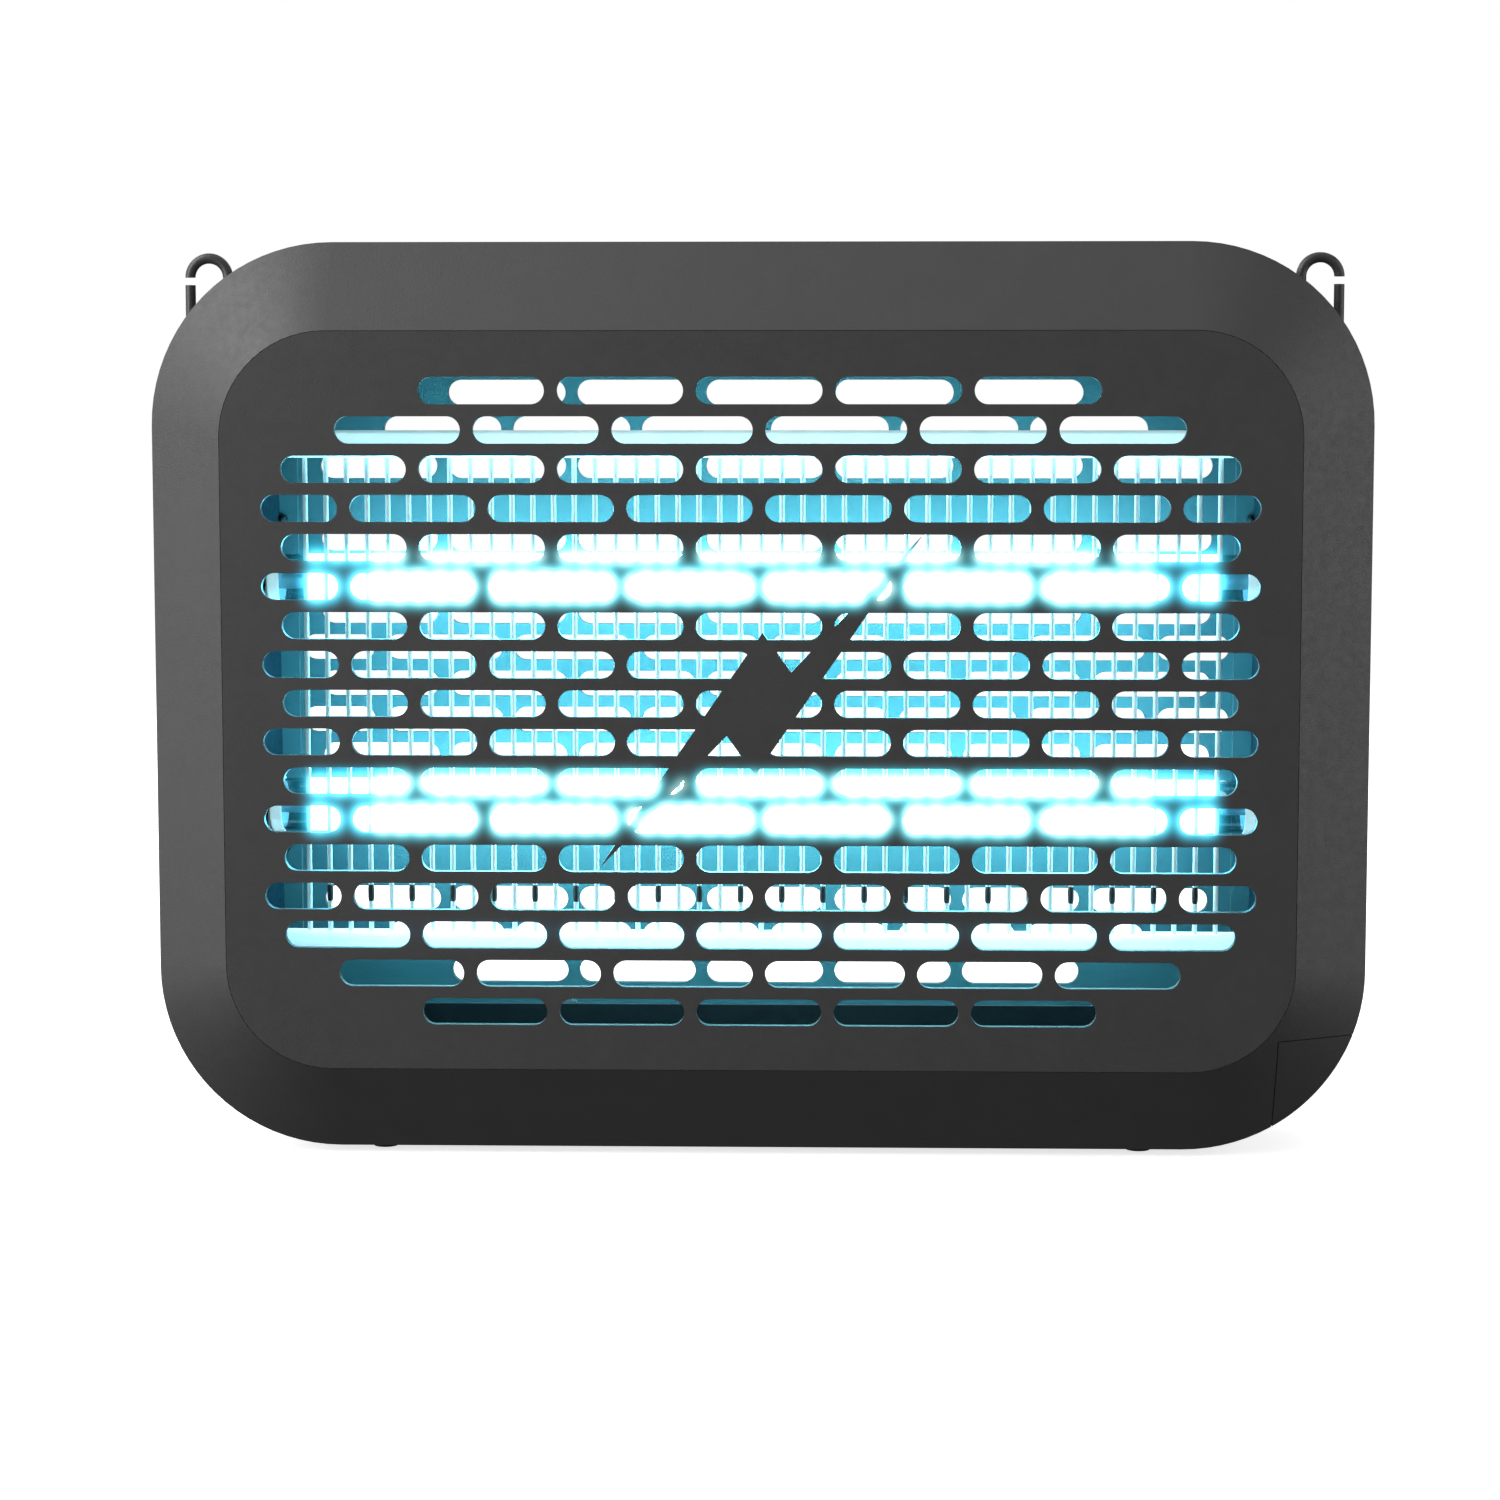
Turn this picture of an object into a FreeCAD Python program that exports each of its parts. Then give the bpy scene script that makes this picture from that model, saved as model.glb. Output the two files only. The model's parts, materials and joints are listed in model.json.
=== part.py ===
"""Electric bug zapper: a flat housing with slotted grilles front and back, two ultraviolet tubes,
a high-voltage wire grid and a pull-out collecting tray.

Frame: +X to the viewer's right, +Y towards the back, +Z up.  The origin is on the surface that the
feet stand on, below the middle of the housing.  All sizes are in millimetres."""
import FreeCAD, Part
import math
import os
import re
import Sketcher
from FreeCAD import Placement, Rotation, Vector

DIMENSIONS = {
    # housing
    "body_width": 347.5,
    "body_height": 260,
    "body_depth": 78,
    "body_radius": 52,
    "flat_width": 304,
    "flat_height": 209.5,
    "flat_radius": 30,
    "bevel_depth": 15,
    "back_chamfer": 4,
    "wall_thickness": 2.5,
    "inner_inset": 0.8,
    "inner_bevel": 16.3,
    "seam_gap": 0.15,
    "ledge_width": 7,
    "ledge_thickness": 2,
    "ledge_bond": 3.5,
    "foot_height": 2,
    "cut_margin": 1,
    # back grille
    "back_width": 300,
    "back_height": 206,
    "back_radius": 27,
    "back_ledge": 8.5,
    # slots, counted in rows from the top
    "slot_pitch": 39,
    "slot_web": 3.5,
    "slot_height": 7.6,
    "row_pitch": 11,
    "wide_slot": 39.7,
    "end_slot": 21.7,
    # lightning bolt, a solid web across the slots
    "bolt_tip_x": 45.6,
    "bolt_tip_z": 47.2,
    "bolt_notch_x": 9.1,
    "bolt_notch_z": 9,
    "bolt_shoulder_x": 1,
    "bolt_shoulder_z": 20.2,
    # housing screws
    "post_radius": 5.2,
    "post_x": 160,
    "post_z": 85,
    "top_post_x": 60,
    "top_post_z": 117,
    "cover_screw_radius": 1.4,
    "cover_screw_head": 3.3,
    "cover_head_seat": 12,
    "cover_head_height": 2.4,
    "cover_screw_reach": 10,
    "passage_clearance": 0.3,
    "well_clearance": 0.2,
    "sink_clearance": 0.1,
    "small_screw_radius": 1.2,
    "small_screw_head": 2.9,
    "small_head_height": 1.6,
    "front_screw_z": 101.5,
    "front_screw_near": 40,
    "front_screw_far": 110,
    "front_screw_bite": 1.8,
    "back_screw_x": 145.7,
    "back_screw_side_z": 50,
    "back_screw_top_x": 60,
    "back_screw_z": 98.5,
    "back_head_height": 1.2,
    "back_screw_length": 8,
    "boss_wall": 1.6,
    "boss_floor": 1,
    # feet
    "foot_x": 110,
    "front_foot_y": -14,
    "back_foot_y": 28,
    "foot_tip_radius": 3.5,
    "foot_top_radius": 4.5,
    "foot_stem_radius": 2,
    "foot_bulge_radius": 2.5,
    "foot_stem_end": 1.5,
    "foot_stem_taper": 0.6,
    # hanging hooks
    "hook_x": 161,
    "hook_wire": 1.5,
    "hook_bend": 5.5,
    "hook_top_bend_z": 121,
    "hook_low_bend_z": 108,
    "hook_post_top_z": 118.8,
    "hook_clearance": 0.03,
    "hook_block_half": 8.5,
    "hook_block_depth": 5,
    "hook_block_low_z": 98,
    # collecting tray
    "tray_left": 140,
    "tray_right": 147.7,
    "tray_front": 22,
    "tray_back": 29,
    "tray_bottom": 12.5,
    "tray_top": 35,
    "tray_wall": 1.8,
    "cap_seam_x": 147.45,
    "cap_seam_z": 36,
    "cap_gap": 0.25,
    "cap_wall": 2.5,
    "scoop_x": 164.7,
    "scoop_z": 25,
    "scoop_radius": 6,
    "scoop_half": 16,
    "scoop_wall": 2,
    "runner_front_y": -19.5,
    "runner_back_y": 22,
    "runner_width": 2.5,
    "runner_left": 138,
    "runner_right": 146,
    "tray_screw_y": 14,
    "tray_screw_z": 23,
    "tray_screw_stop": 0.6,
    "tray_hole_stop": 0.5,
    "runner_gap": 0.1,
    # lamps
    "lamp_z": 33,
    "lamp_half": 144.15,
    "glass_half": 142.7,
    "glass_radius": 7.75,
    "glass_wall": 0.8,
    "cap_radius": 8.05,
    "cap_skirt": 3.4,
    "cap_plate": 1.2,
    "cap_corner_length": 0.5,
    "cap_corner_depth": 0.6,
    "pin_radius": 1.18,
    "pin_offset": 2.375,
    "pin_tip": 151.25,
    "stem_radius": 2.5,
    "stem_start": 131,
    "filament_radius": 0.6,
    "filament_half": 4,
    # lamp holders
    "holder_face": 144.3,
    "holder_back": 155,
    "holder_half_depth": 9,
    "holder_half_height": 10,
    "rotor_radius": 7.3,
    "rotor_bore": 7.36,
    "rotor_start": 144.5,
    "rotor_end": 149,
    "rotor_seat": 149.2,
    "contact_radius": 4.4,
    "contact_end": 152.5,
    "entry_half": 1.6,
    # end frames
    "frame_face": 147,
    "frame_back": 149.5,
    "frame_front_y": -30,
    "frame_back_y": 34.5,
    "frame_low_z": -93.5,
    "frame_high_z": 92,
    "shelf_low_z": -95.6,
    "shelf_high_z": -93.5,
    "shelf_front_y": -20,
    "shelf_end": 166.5,
    "flange_end": 154.3,
    "flange_thickness": 2,
    "flange_half_z": 76,
    "frame_screw_x": 152.6,
    "frame_screw_z": 44.2,
    "frame_screw_stop": 1,
    "lead_hole_y": -13,
    "lead_hole_z": -84,
    "lead_hole_radius": 2,
    # wire grid
    "grid_y": -11.5,
    "wire_pitch": 6,
    "wire_radius": 0.7,
    "wire_pairs": 22,
    "rail_low_z": 69,
    "rail_high_z": 76,
    "rail_half_depth": 4.5,
    "wire_hole": 0.75,
    "wire_end_z": 73,
    "bus_half": 134,
    "bus_half_depth": 3,
    "bus_thickness": 0.8,
    "sleeve_radius": 0.9,
    "sleeve_low_z": -60.2,
    "sleeve_top_z": -55.3,
    "rail_screw_reach": 8,
    # circuit boards
    "board_face": 157,
    "board_back": 158.6,
    "board_half_depth": 30,
    "ballast_low_z": -8,
    "ballast_high_z": 74,
    "hv_half_z": 70,
    "board_inset": 4,
    "standoff_radius": 3,
    "board_screw_stop": 1,
    # parts on the ballast board
    "choke_height": 10,
    "choke_front_y": -14,
    "choke_back_y": 6,
    "choke_low_z": 46,
    "choke_high_z": 62,
    "choke_flange": 4,
    "winding_lift": 5,
    "winding_y": -4,
    "winding_radius": 4.8,
    "can_radius": 5,
    "can_y": -18,
    "can_low_z": 4,
    "can_high_z": 24,
    "film_height": 9,
    "film_width": 6,
    "film_pitch": 12,
    "film_low_z": 28,
    "film_high_z": 40,
    "chip_height": 4,
    "chip_front_y": 4,
    "chip_back_y": 12,
    "chip_low_z": 2,
    "chip_length": 9,
    "chip_pitch": 12,
    "fuse_lift": 3,
    "fuse_radius": 2.6,
    "fuse_front_y": 12,
    "fuse_back_y": 26,
    "fuse_z": 60,
    # parts on the high-voltage board
    "hv_capacitor_height": 9,
    "hv_capacitor_width": 8,
    "hv_capacitor_length": 18,
    "hv_front_y": -20,
    "hv_back_y": 10,
    "hv_low_z": -52,
    "hv_high_z": 10,
    "diode_radius": 1.4,
    "diode_length": 6,
    "diode_front_y": -6,
    "diode_back_y": 2,
    "diode_low_z": -48,
    "diode_high_z": -34,
    "resistor_radius": 2.5,
    "resistor_length": 14,
    "resistor_y": -2,
    "resistor_low_z": -16,
    "resistor_high_z": 34,
    # power inlet and switch
    "fitting_x": 161,
    "inlet_z": -60,
    "inlet_half_width": 6,
    "inlet_half_height": 11,
    "inlet_front_y": 20,
    "socket_half_width": 4.6,
    "socket_half_height": 8,
    "socket_depth": 13,
    "inlet_pin_radius": 1.2,
    "inlet_pin_offset": 4.3,
    "inlet_pin_recess": 2,
    "inlet_tail_y": 14.5,
    "switch_z": -30,
    "switch_half_width": 6.5,
    "switch_half_height": 9.5,
    "switch_front_y": 22,
    "rocker_half_width": 4,
    "rocker_half_height": 6,
    "rocker_room_half": 7.2,
    "rocker_pivot_y": 33,
    "rocker_crown": 4.5,
    "rocker_dip": 1.05,
    "rocker_window": 0.35,
    "rocker_pin_radius": 1,
    "rocker_pin_half": 5.6,
    "rocker_pin_gap": 0.1,
    "rocker_bore_gap": 0.05,
    "rocker_room_depth": 5,
    "rocker_root": 2,
    "rocker_skirt": 2.9,
    "terminal_half": 1.6,
    "terminal_offset": 4,
    "terminal_y": 17.5,
    "terminal_bite": 2,
    "terminal_half_height": 0.4,
    # leads
    "lead_radius": 0.9,
    "lead_bend": 3,
    "lead_clearance": 4.6,
    "feed_inset": 1.2,
}

FRONT = "(-body_depth / 2)"
BACK = "(body_depth / 2)"
CENTRE = "(foot_height + body_height / 2)"
CAVITY_BACK = "(body_depth / 2 - wall_thickness)"
FACING_FRONT = Rotation(Vector(1, 0, 0), 90)
FACING_FRONT_INVERTED = Rotation(Vector(0, 1, 0), 180) * FACING_FRONT
ALONG = {"x": Rotation(Vector(0, 1, 0), 90), "y": Rotation(Vector(1, 0, 0), -90), "z": Rotation()}
SLOT_ROWS = 17
SOLID_BACK_ROWS = (4, 14)
ROCKER_TILT = math.degrees(math.atan2(DIMENSIONS["rocker_dip"], DIMENSIONS["rocker_half_height"]))

doc = FreeCAD.newDocument("bug_zapper")
sheet = doc.addObject("Spreadsheet::Sheet", "dims")
pieces = []


# ---------------------------------------------------------------- helpers

def fill_sheet():
    for row, (alias, number) in enumerate(DIMENSIONS.items(), 1):
        sheet.set(f"A{row}", alias)
        sheet.set(f"B{row}", str(number))
        sheet.setAlias(f"B{row}", alias)
    doc.recompute()


def linked(text):
    """An expression in which each alias points at the sheet; every alias has an underscore."""
    return re.sub(r"[a-z]+(?:_[a-z]+)+", r"dims.\g<0>", str(text))


def value(text):
    return float(sheet.evalExpression(str(text)))


def up(height):
    """A height measured from the middle of the panel."""
    return f"({CENTRE} + ({height}))"


def place(thing, x, y, z, turn=Rotation()):
    thing.Placement = Placement(Vector(), turn)
    for axis, text in zip("xyz", (x, y, z)):
        thing.setExpression("Placement.Base." + axis, linked(text))


def keep(thing, label):
    """Mark an object as a finished sub-part, exported under its label."""
    thing.Label = label
    pieces.append(thing)
    return thing


def box(name, x, y, z):
    """A block between three (low, high) pairs."""
    block = doc.addObject("Part::Box", name)
    for side, (low, high) in zip(("Length", "Width", "Height"), (x, y, z)):
        block.setExpression(side, linked(f"({high}) - ({low})"))
    place(block, x[0], y[0], z[0])
    return block


def rod(name, axis, low, high, centre, radius):
    """A round bar along one axis; centre holds its other two coordinates."""
    bar = doc.addObject("Part::Cylinder", name)
    bar.setExpression("Radius", linked(radius))
    bar.setExpression("Height", linked(f"({high}) - ({low})"))
    where = list(centre)
    where.insert("xyz".index(axis), low)
    place(bar, *where, ALONG[axis])
    return bar


def fuse(name, *shapes):
    if len(shapes) == 1:
        return shapes[0]
    result = doc.addObject("Part::MultiFuse", name)
    result.Shapes = list(shapes)
    return result


def cut(name, base, *tools):
    result = doc.addObject("Part::Cut", name)
    result.Base = base
    result.Tool = fuse(name + "_tool", *tools)
    return result


def common(name, first, second):
    result = doc.addObject("Part::Common", name)
    result.Base = first
    result.Tool = second
    return result


def group(label, members):
    """Several separate solids in one node."""
    result = doc.addObject("Part::Compound", label)
    result.Links = list(members)
    return keep(result, label)


def mirrored(label, source):
    """The same piece on the left-hand side."""
    result = doc.addObject("Part::Mirroring", label)
    result.Source = source
    result.Base = Vector()
    result.Normal = Vector(1, 0, 0)
    return keep(result, label)


def screw(name, axis, head, seat, tip, centre, radii):
    """A pan-head screw: the head from head to seat, the shank on from seat to tip."""
    shank_radius, head_radius = radii
    low, high = sorted((head, seat), key=value)
    crown = rod(name + "_head", axis, low, high, centre, head_radius)
    low, high = sorted((seat, tip), key=value)
    shank = rod(name + "_shank", axis, low, high, centre, shank_radius)
    return fuse(name, crown, shank)


COVER_RADII = ("cover_screw_radius", "cover_screw_head")
SMALL_RADII = ("small_screw_radius", "small_screw_head")


# ---------------------------------------------------------------- sketches

def dimension(sketch, constraint, text):
    """Add a dimensional constraint and drive it from the sheet."""
    index = sketch.addConstraint(constraint)
    name = f"size{index}"
    sketch.renameConstraint(index, name)
    sketch.setExpression("Constraints." + name, linked(text))


def add_polygon(sketch, points):
    """A closed outline with every corner dimensioned from the sketch's origin."""
    first = sketch.GeometryCount
    corners = [Vector(value(x), value(y), 0) for x, y in points]
    count = len(points)
    for i in range(count):
        sketch.addGeometry(Part.LineSegment(corners[i], corners[(i + 1) % count]), False)
    for i in range(count):
        sketch.addConstraint(Sketcher.Constraint("Coincident", first + i, 2, first + (i + 1) % count, 1))
    for i, (x, y) in enumerate(points):
        line = first + i
        dimension(sketch, Sketcher.Constraint("DistanceX", -1, 1, line, 1, corners[i].x), x)
        dimension(sketch, Sketcher.Constraint("DistanceY", -1, 1, line, 1, corners[i].y), y)


def add_rectangle(sketch, x, y):
    add_polygon(sketch, [(x[0], y[0]), (x[1], y[0]), (x[1], y[1]), (x[0], y[1])])


def add_circle(sketch, x, y, radius):
    circle = Part.Circle(Vector(value(x), value(y), 0), Vector(0, 0, 1), value(radius))
    index = sketch.addGeometry(circle, False)
    dimension(sketch, Sketcher.Constraint("DistanceX", -1, 1, index, 3, value(x)), x)
    dimension(sketch, Sketcher.Constraint("DistanceY", -1, 1, index, 3, value(y)), y)
    dimension(sketch, Sketcher.Constraint("Radius", index, value(radius)), radius)


def add_rounded_rectangle(sketch, width, height, radius):
    """Four lines and four arcs round the sketch's origin, clockwise from the top line."""
    half_w, half_h, bend = value(width) / 2, value(height) / 2, value(radius)
    flat_w, flat_h = half_w - bend, half_h - bend
    lines = [
        ((-flat_w, half_h), (flat_w, half_h)),
        ((half_w, flat_h), (half_w, -flat_h)),
        ((flat_w, -half_h), (-flat_w, -half_h)),
        ((-half_w, -flat_h), (-half_w, flat_h)),
    ]
    centres = [(flat_w, flat_h), (flat_w, -flat_h), (-flat_w, -flat_h), (-flat_w, flat_h)]
    for (start, end), centre, quarter in zip(lines, centres, (0, 3, 2, 1)):
        sketch.addGeometry(Part.LineSegment(Vector(*start, 0), Vector(*end, 0)), False)
        circle = Part.Circle(Vector(*centre, 0), Vector(0, 0, 1), bend)
        begin = quarter * math.pi / 2
        sketch.addGeometry(Part.ArcOfCircle(circle, begin, begin + math.pi / 2), False)
    for line in (0, 2, 4, 6):
        sketch.addConstraint(Sketcher.Constraint("Tangent", line, 2, line + 1, 2))
        sketch.addConstraint(Sketcher.Constraint("Tangent", line + 1, 1, (line + 2) % 8, 1))
    for line in (0, 4):
        sketch.addConstraint(Sketcher.Constraint("Horizontal", line))
        sketch.addConstraint(Sketcher.Constraint("Vertical", line + 2))
    for arc in (1, 3, 5):
        sketch.addConstraint(Sketcher.Constraint("Equal", arc, arc + 2))
    sketch.addConstraint(Sketcher.Constraint("Symmetric", 0, 1, 4, 1, -1, 1))
    dimension(sketch, Sketcher.Constraint("DistanceX", 6, 1, 2, 1, 2 * half_w), width)
    dimension(sketch, Sketcher.Constraint("DistanceY", 4, 1, 0, 1, 2 * half_h), height)
    dimension(sketch, Sketcher.Constraint("Radius", 1, bend), radius)


def front_sketch(name, y):
    """A sketch parallel to the front, centred on the panel, at the given depth."""
    sketch = doc.addObject("Sketcher::SketchObject", name)
    place(sketch, 0, y, CENTRE, FACING_FRONT)
    return sketch


def rounded_outline(name, y, width, height, radius):
    sketch = front_sketch(name, y)
    add_rounded_rectangle(sketch, width, height, radius)
    return sketch


def extruded(name, sketch, depth):
    """The sketch swept towards the back."""
    result = doc.addObject("Part::Extrusion", name)
    result.Base = sketch
    result.DirMode = "Custom"
    result.Dir = Vector(0, 1, 0)
    result.Solid = True
    result.setExpression("LengthFwd", linked(depth))
    return result


def lofted(name, first, second):
    result = doc.addObject("Part::Loft", name)
    result.Sections = [first, second]
    result.Solid = True
    result.Ruled = True
    return result


def rounded_plate(name, y, depth, width, height, radius):
    return extruded(name, rounded_outline(name + "_outline", y, width, height, radius), depth)


# ---------------------------------------------------------------- part design helpers

def new_body(label):
    return doc.addObject("PartDesign::Body", label)


def body_sketch(body, name, plane, offset="0"):
    sketch = body.newObject("Sketcher::SketchObject", name)
    support = next(f for f in body.Origin.OriginFeatures if f.Role == plane)
    sketch.AttachmentSupport = (support, [""])
    sketch.MapMode = "FlatFace"
    sketch.setExpression("AttachmentOffset.Base.z", linked(offset))
    return sketch


def pad(body, name, sketch, length, along_normal=True):
    feature = body.newObject("PartDesign::Pad", name)
    feature.Profile = sketch
    feature.setExpression("Length", linked(length))
    feature.Reversed = not along_normal
    return feature


def pocket(body, name, sketch, length, along_normal=True):
    feature = body.newObject("PartDesign::Pocket", name)
    feature.Profile = sketch
    feature.setExpression("Length", linked(length))
    feature.Reversed = along_normal
    return feature


def revolved(body, name, sketch, axis):
    feature = body.newObject("PartDesign::Revolution", name)
    feature.Profile = sketch
    feature.ReferenceAxis = (sketch, [axis])
    feature.Angle = 360
    return feature


# ---------------------------------------------------------------- slots

def spans(lengths, start):
    """Slots one after another, a web apart, from start outwards: (low, high) in X."""
    web = value("slot_web")
    result = []
    for length in lengths:
        result.append((start, start + length))
        start += length + web
    return result


def row_spans(row, regular):
    """The slots of one row.  Odd rows have one in the middle, even rows a web."""
    length = value("slot_pitch - slot_web")
    edge_row = min(row, SLOT_ROWS + 1 - row)
    half_web = value("slot_web / 2")
    if row % 2:
        side_slots = 2 if edge_row == 1 else 3
        outer = spans([length] * side_slots, length / 2 + value("slot_web"))
        middle = [(-length / 2, length / 2)]
    elif edge_row == 2:
        first = length if regular else value("wide_slot")
        outer = spans([first, length, length], half_web)
        middle = []
    else:
        outer = spans([length] * 3 + [value("end_slot")], half_web)
        middle = []
    return middle + outer + [(-high, -low) for low, high in outer]


def slot_tool(name, front, depth, rows, regular):
    """All the slots of a grille as one compound of round-ended bars, pointing to the back."""
    height = value("slot_height")
    slots = []
    for row in rows:
        z = value(up(f"{(SLOT_ROWS + 1) / 2 - row} * row_pitch"))
        for low, high in row_spans(row, regular):
            left, right = low + height / 2, high - height / 2
            bar = Part.makeBox(right - left, depth, height, Vector(left, front, z - height / 2))
            ends = [
                Part.makeCylinder(height / 2, depth, Vector(x, front, z), Vector(0, 1, 0))
                for x in (left, right)
            ]
            slots.append(bar.fuse(ends).removeSplitter())
    tool = doc.addObject("Part::Feature", name)
    tool.Shape = Part.makeCompound(slots)
    return tool


def bolt_web(y, depth):
    """The lightning bolt that the slots stop at, the same when turned half a turn."""
    half = [
        ("bolt_tip_x", "bolt_tip_z"),
        ("bolt_notch_x", "bolt_notch_z"),
        ("bolt_shoulder_x", "bolt_shoulder_z"),
    ]
    sketch = front_sketch("bolt_outline", y)
    add_polygon(sketch, half + [(f"-{x}", f"-{z}") for x, z in half])
    return extruded("bolt_web", sketch, depth)


def front_grille():
    thickness = "wall_thickness"
    plate = rounded_plate(
        "front_plate", FRONT, thickness,
        "flat_width - 2 * seam_gap", "flat_height - 2 * seam_gap", "flat_radius - seam_gap",
    )
    margin = value("cut_margin")
    tool = slot_tool(
        "front_slots", value(FRONT) - margin, value(thickness) + 2 * margin,
        range(1, SLOT_ROWS + 1), False,
    )
    bolt = bolt_web(f"{FRONT} - 2 * cut_margin", "wall_thickness + 4 * cut_margin")
    openings = cut("front_slots_round_bolt", tool, bolt)
    bites = [
        rod("front_screw_bite_hole", "y", f"{FRONT} + wall_thickness - front_screw_bite",
            f"{FRONT} + wall_thickness + cut_margin", (x, up(z)), "small_screw_radius")
        for x, z in front_screw_places()
    ]
    keep(cut("front_grille", cut("front_slotted", plate, openings), *bites), "front_grille")


def back_grille():
    plate = rounded_plate(
        "back_plate", CAVITY_BACK, "wall_thickness",
        "back_width - 2 * seam_gap", "back_height - 2 * seam_gap", "back_radius - seam_gap",
    )
    rows = [row for row in range(1, SLOT_ROWS + 1) if row not in SOLID_BACK_ROWS]
    margin = value("cut_margin")
    openings = slot_tool(
        "back_slots", value(CAVITY_BACK) - margin, value("wall_thickness") + 2 * margin, rows, True,
    )
    holes = []
    for x, z in back_screw_places():
        holes.append(rod("back_screw_hole", "y", f"{CAVITY_BACK} - cut_margin", f"{BACK} + cut_margin",
                         (x, up(z)), "small_screw_radius"))
        holes.append(rod("back_screw_sink", "y", f"{BACK} - back_head_height", f"{BACK} + cut_margin",
                         (x, up(z)), "small_screw_head + sink_clearance"))
    keep(cut("back_grille", cut("back_slotted", plate, openings), *holes), "back_grille")


# ---------------------------------------------------------------- housing

def front_screw_places():
    return [
        (f"{side} * {x}", f"{level} * front_screw_z")
        for x in ("front_screw_near", "front_screw_far")
        for side in (-1, 1)
        for level in (-1, 1)
    ]


def back_screw_places():
    sides = [(f"{s} * back_screw_x", f"{t} * back_screw_side_z") for s in (-1, 1) for t in (-1, 1)]
    ends = [(f"{s} * back_screw_top_x", f"{t} * back_screw_z") for s in (-1, 1) for t in (-1, 1)]
    return sides + ends


def post_places():
    corners = [(f"{s} * post_x", f"{t} * post_z") for s in (-1, 1) for t in (-1, 1)]
    return corners + [(f"{s} * top_post_x", "top_post_z") for s in (-1, 1)]


def housing_envelope():
    """The outside of the closed housing: flat face, bevel, straight side and a chamfer behind."""
    flat = rounded_outline("flat_edge", FRONT, "flat_width", "flat_height", "flat_radius")
    front_rim = rounded_outline(
        "front_rim", f"{FRONT} + bevel_depth", "body_width", "body_height", "body_radius")
    back_rim = rounded_outline(
        "back_rim", f"{BACK} - back_chamfer", "body_width", "body_height", "body_radius")
    back_edge = rounded_outline(
        "back_edge", BACK, "body_width - 2 * back_chamfer", "body_height - 2 * back_chamfer",
        "body_radius - back_chamfer")
    bevel = lofted("bevel", flat, front_rim)
    side = extruded("side_block", front_rim, "body_depth - bevel_depth - back_chamfer")
    chamfer = lofted("chamfer", back_rim, back_edge)
    return fuse("envelope", bevel, side, chamfer)


def housing_cavity():
    """The space inside the housing, one wall thickness in from the envelope."""
    wide = "body_width - 2 * wall_thickness"
    high = "body_height - 2 * wall_thickness"
    bend = "body_radius - wall_thickness"
    flat = rounded_outline(
        "cavity_flat", f"{FRONT} + wall_thickness",
        "flat_width - 2 * inner_inset", "flat_height - 2 * inner_inset", "flat_radius - inner_inset")
    rim = rounded_outline("cavity_rim", f"{FRONT} + inner_bevel", wide, high, bend)
    back_rim = rounded_outline("cavity_back_rim", f"{BACK} - back_chamfer - 1", wide, high, bend)
    back_edge = rounded_outline(
        "cavity_back_edge", CAVITY_BACK,
        f"{wide} - 2 * wall_thickness", f"{high} - 2 * wall_thickness", f"{bend} - wall_thickness")
    side = extruded("cavity_side", rim, "body_depth - inner_bevel - back_chamfer - 1")
    return fuse("cavity", lofted("cavity_bevel", flat, rim), side,
                lofted("cavity_chamfer", back_rim, back_edge))


def ledge(name, y, width, height, radius, inwards):
    """A ring inside the housing that a grille plate rests on."""
    outer = rounded_plate(
        name + "_outer", y, "ledge_thickness",
        f"{width} + 2 * ledge_bond", f"{height} + 2 * ledge_bond", f"{radius} + ledge_bond")
    inner = rounded_plate(
        name + "_inner", f"{y} - cut_margin", "ledge_thickness + 2 * cut_margin",
        f"{width} - 2 * {inwards}", f"{height} - 2 * {inwards}", f"{radius} - {inwards}")
    return cut(name, outer, inner)


def runner(name, y):
    """A rib on the floor that the tray slides on."""
    return box(name, ("-runner_left", "runner_right"),
               (f"{y} - runner_width / 2", f"{y} + runner_width / 2"),
               ("foot_height + wall_thickness / 2", "tray_bottom - runner_gap"))


def hook_block(name, side):
    """A solid corner block that grips the legs of a hanging hook."""
    x = f"{side} * hook_x"
    return box(name, (f"{x} - hook_block_half", f"{x} + hook_block_half"),
               ("-hook_block_depth", "hook_block_depth"), (up("hook_block_low_z"), up("body_height / 2")))


def foot_hole(name, side, y):
    """A hole in the floor for a foot's stem."""
    return rod(name, "z", 0, "foot_height + wall_thickness + cut_margin", (f"{side} * foot_x", y),
               "foot_stem_radius")


def half_space(name, low, high):
    return box(name, ("-body_width", "body_width"), (low, high), ("-body_height", "2 * body_height"))


def tray_doorway(name):
    """The lower right corner that belongs to the tray's end cap."""
    return box(name, ("cap_seam_x", "body_width"), ("-body_depth", "body_depth"),
               ("-foot_height", "cap_seam_z"))


def shell(name, envelope, cavity, insides, holes, low, high):
    """Wall and inner ribs, trimmed to one half of the housing."""
    wall = cut(name + "_wall", envelope, cavity)
    ribs = common(name + "_ribs", envelope, fuse(name + "_rib_group", *insides))
    solid = fuse(name + "_solid", wall, ribs)
    half = common(name + "_half", solid, half_space(name + "_side", low, high))
    result = cut(name, half, *holes)
    result.Refine = True
    return keep(result, name)


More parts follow.
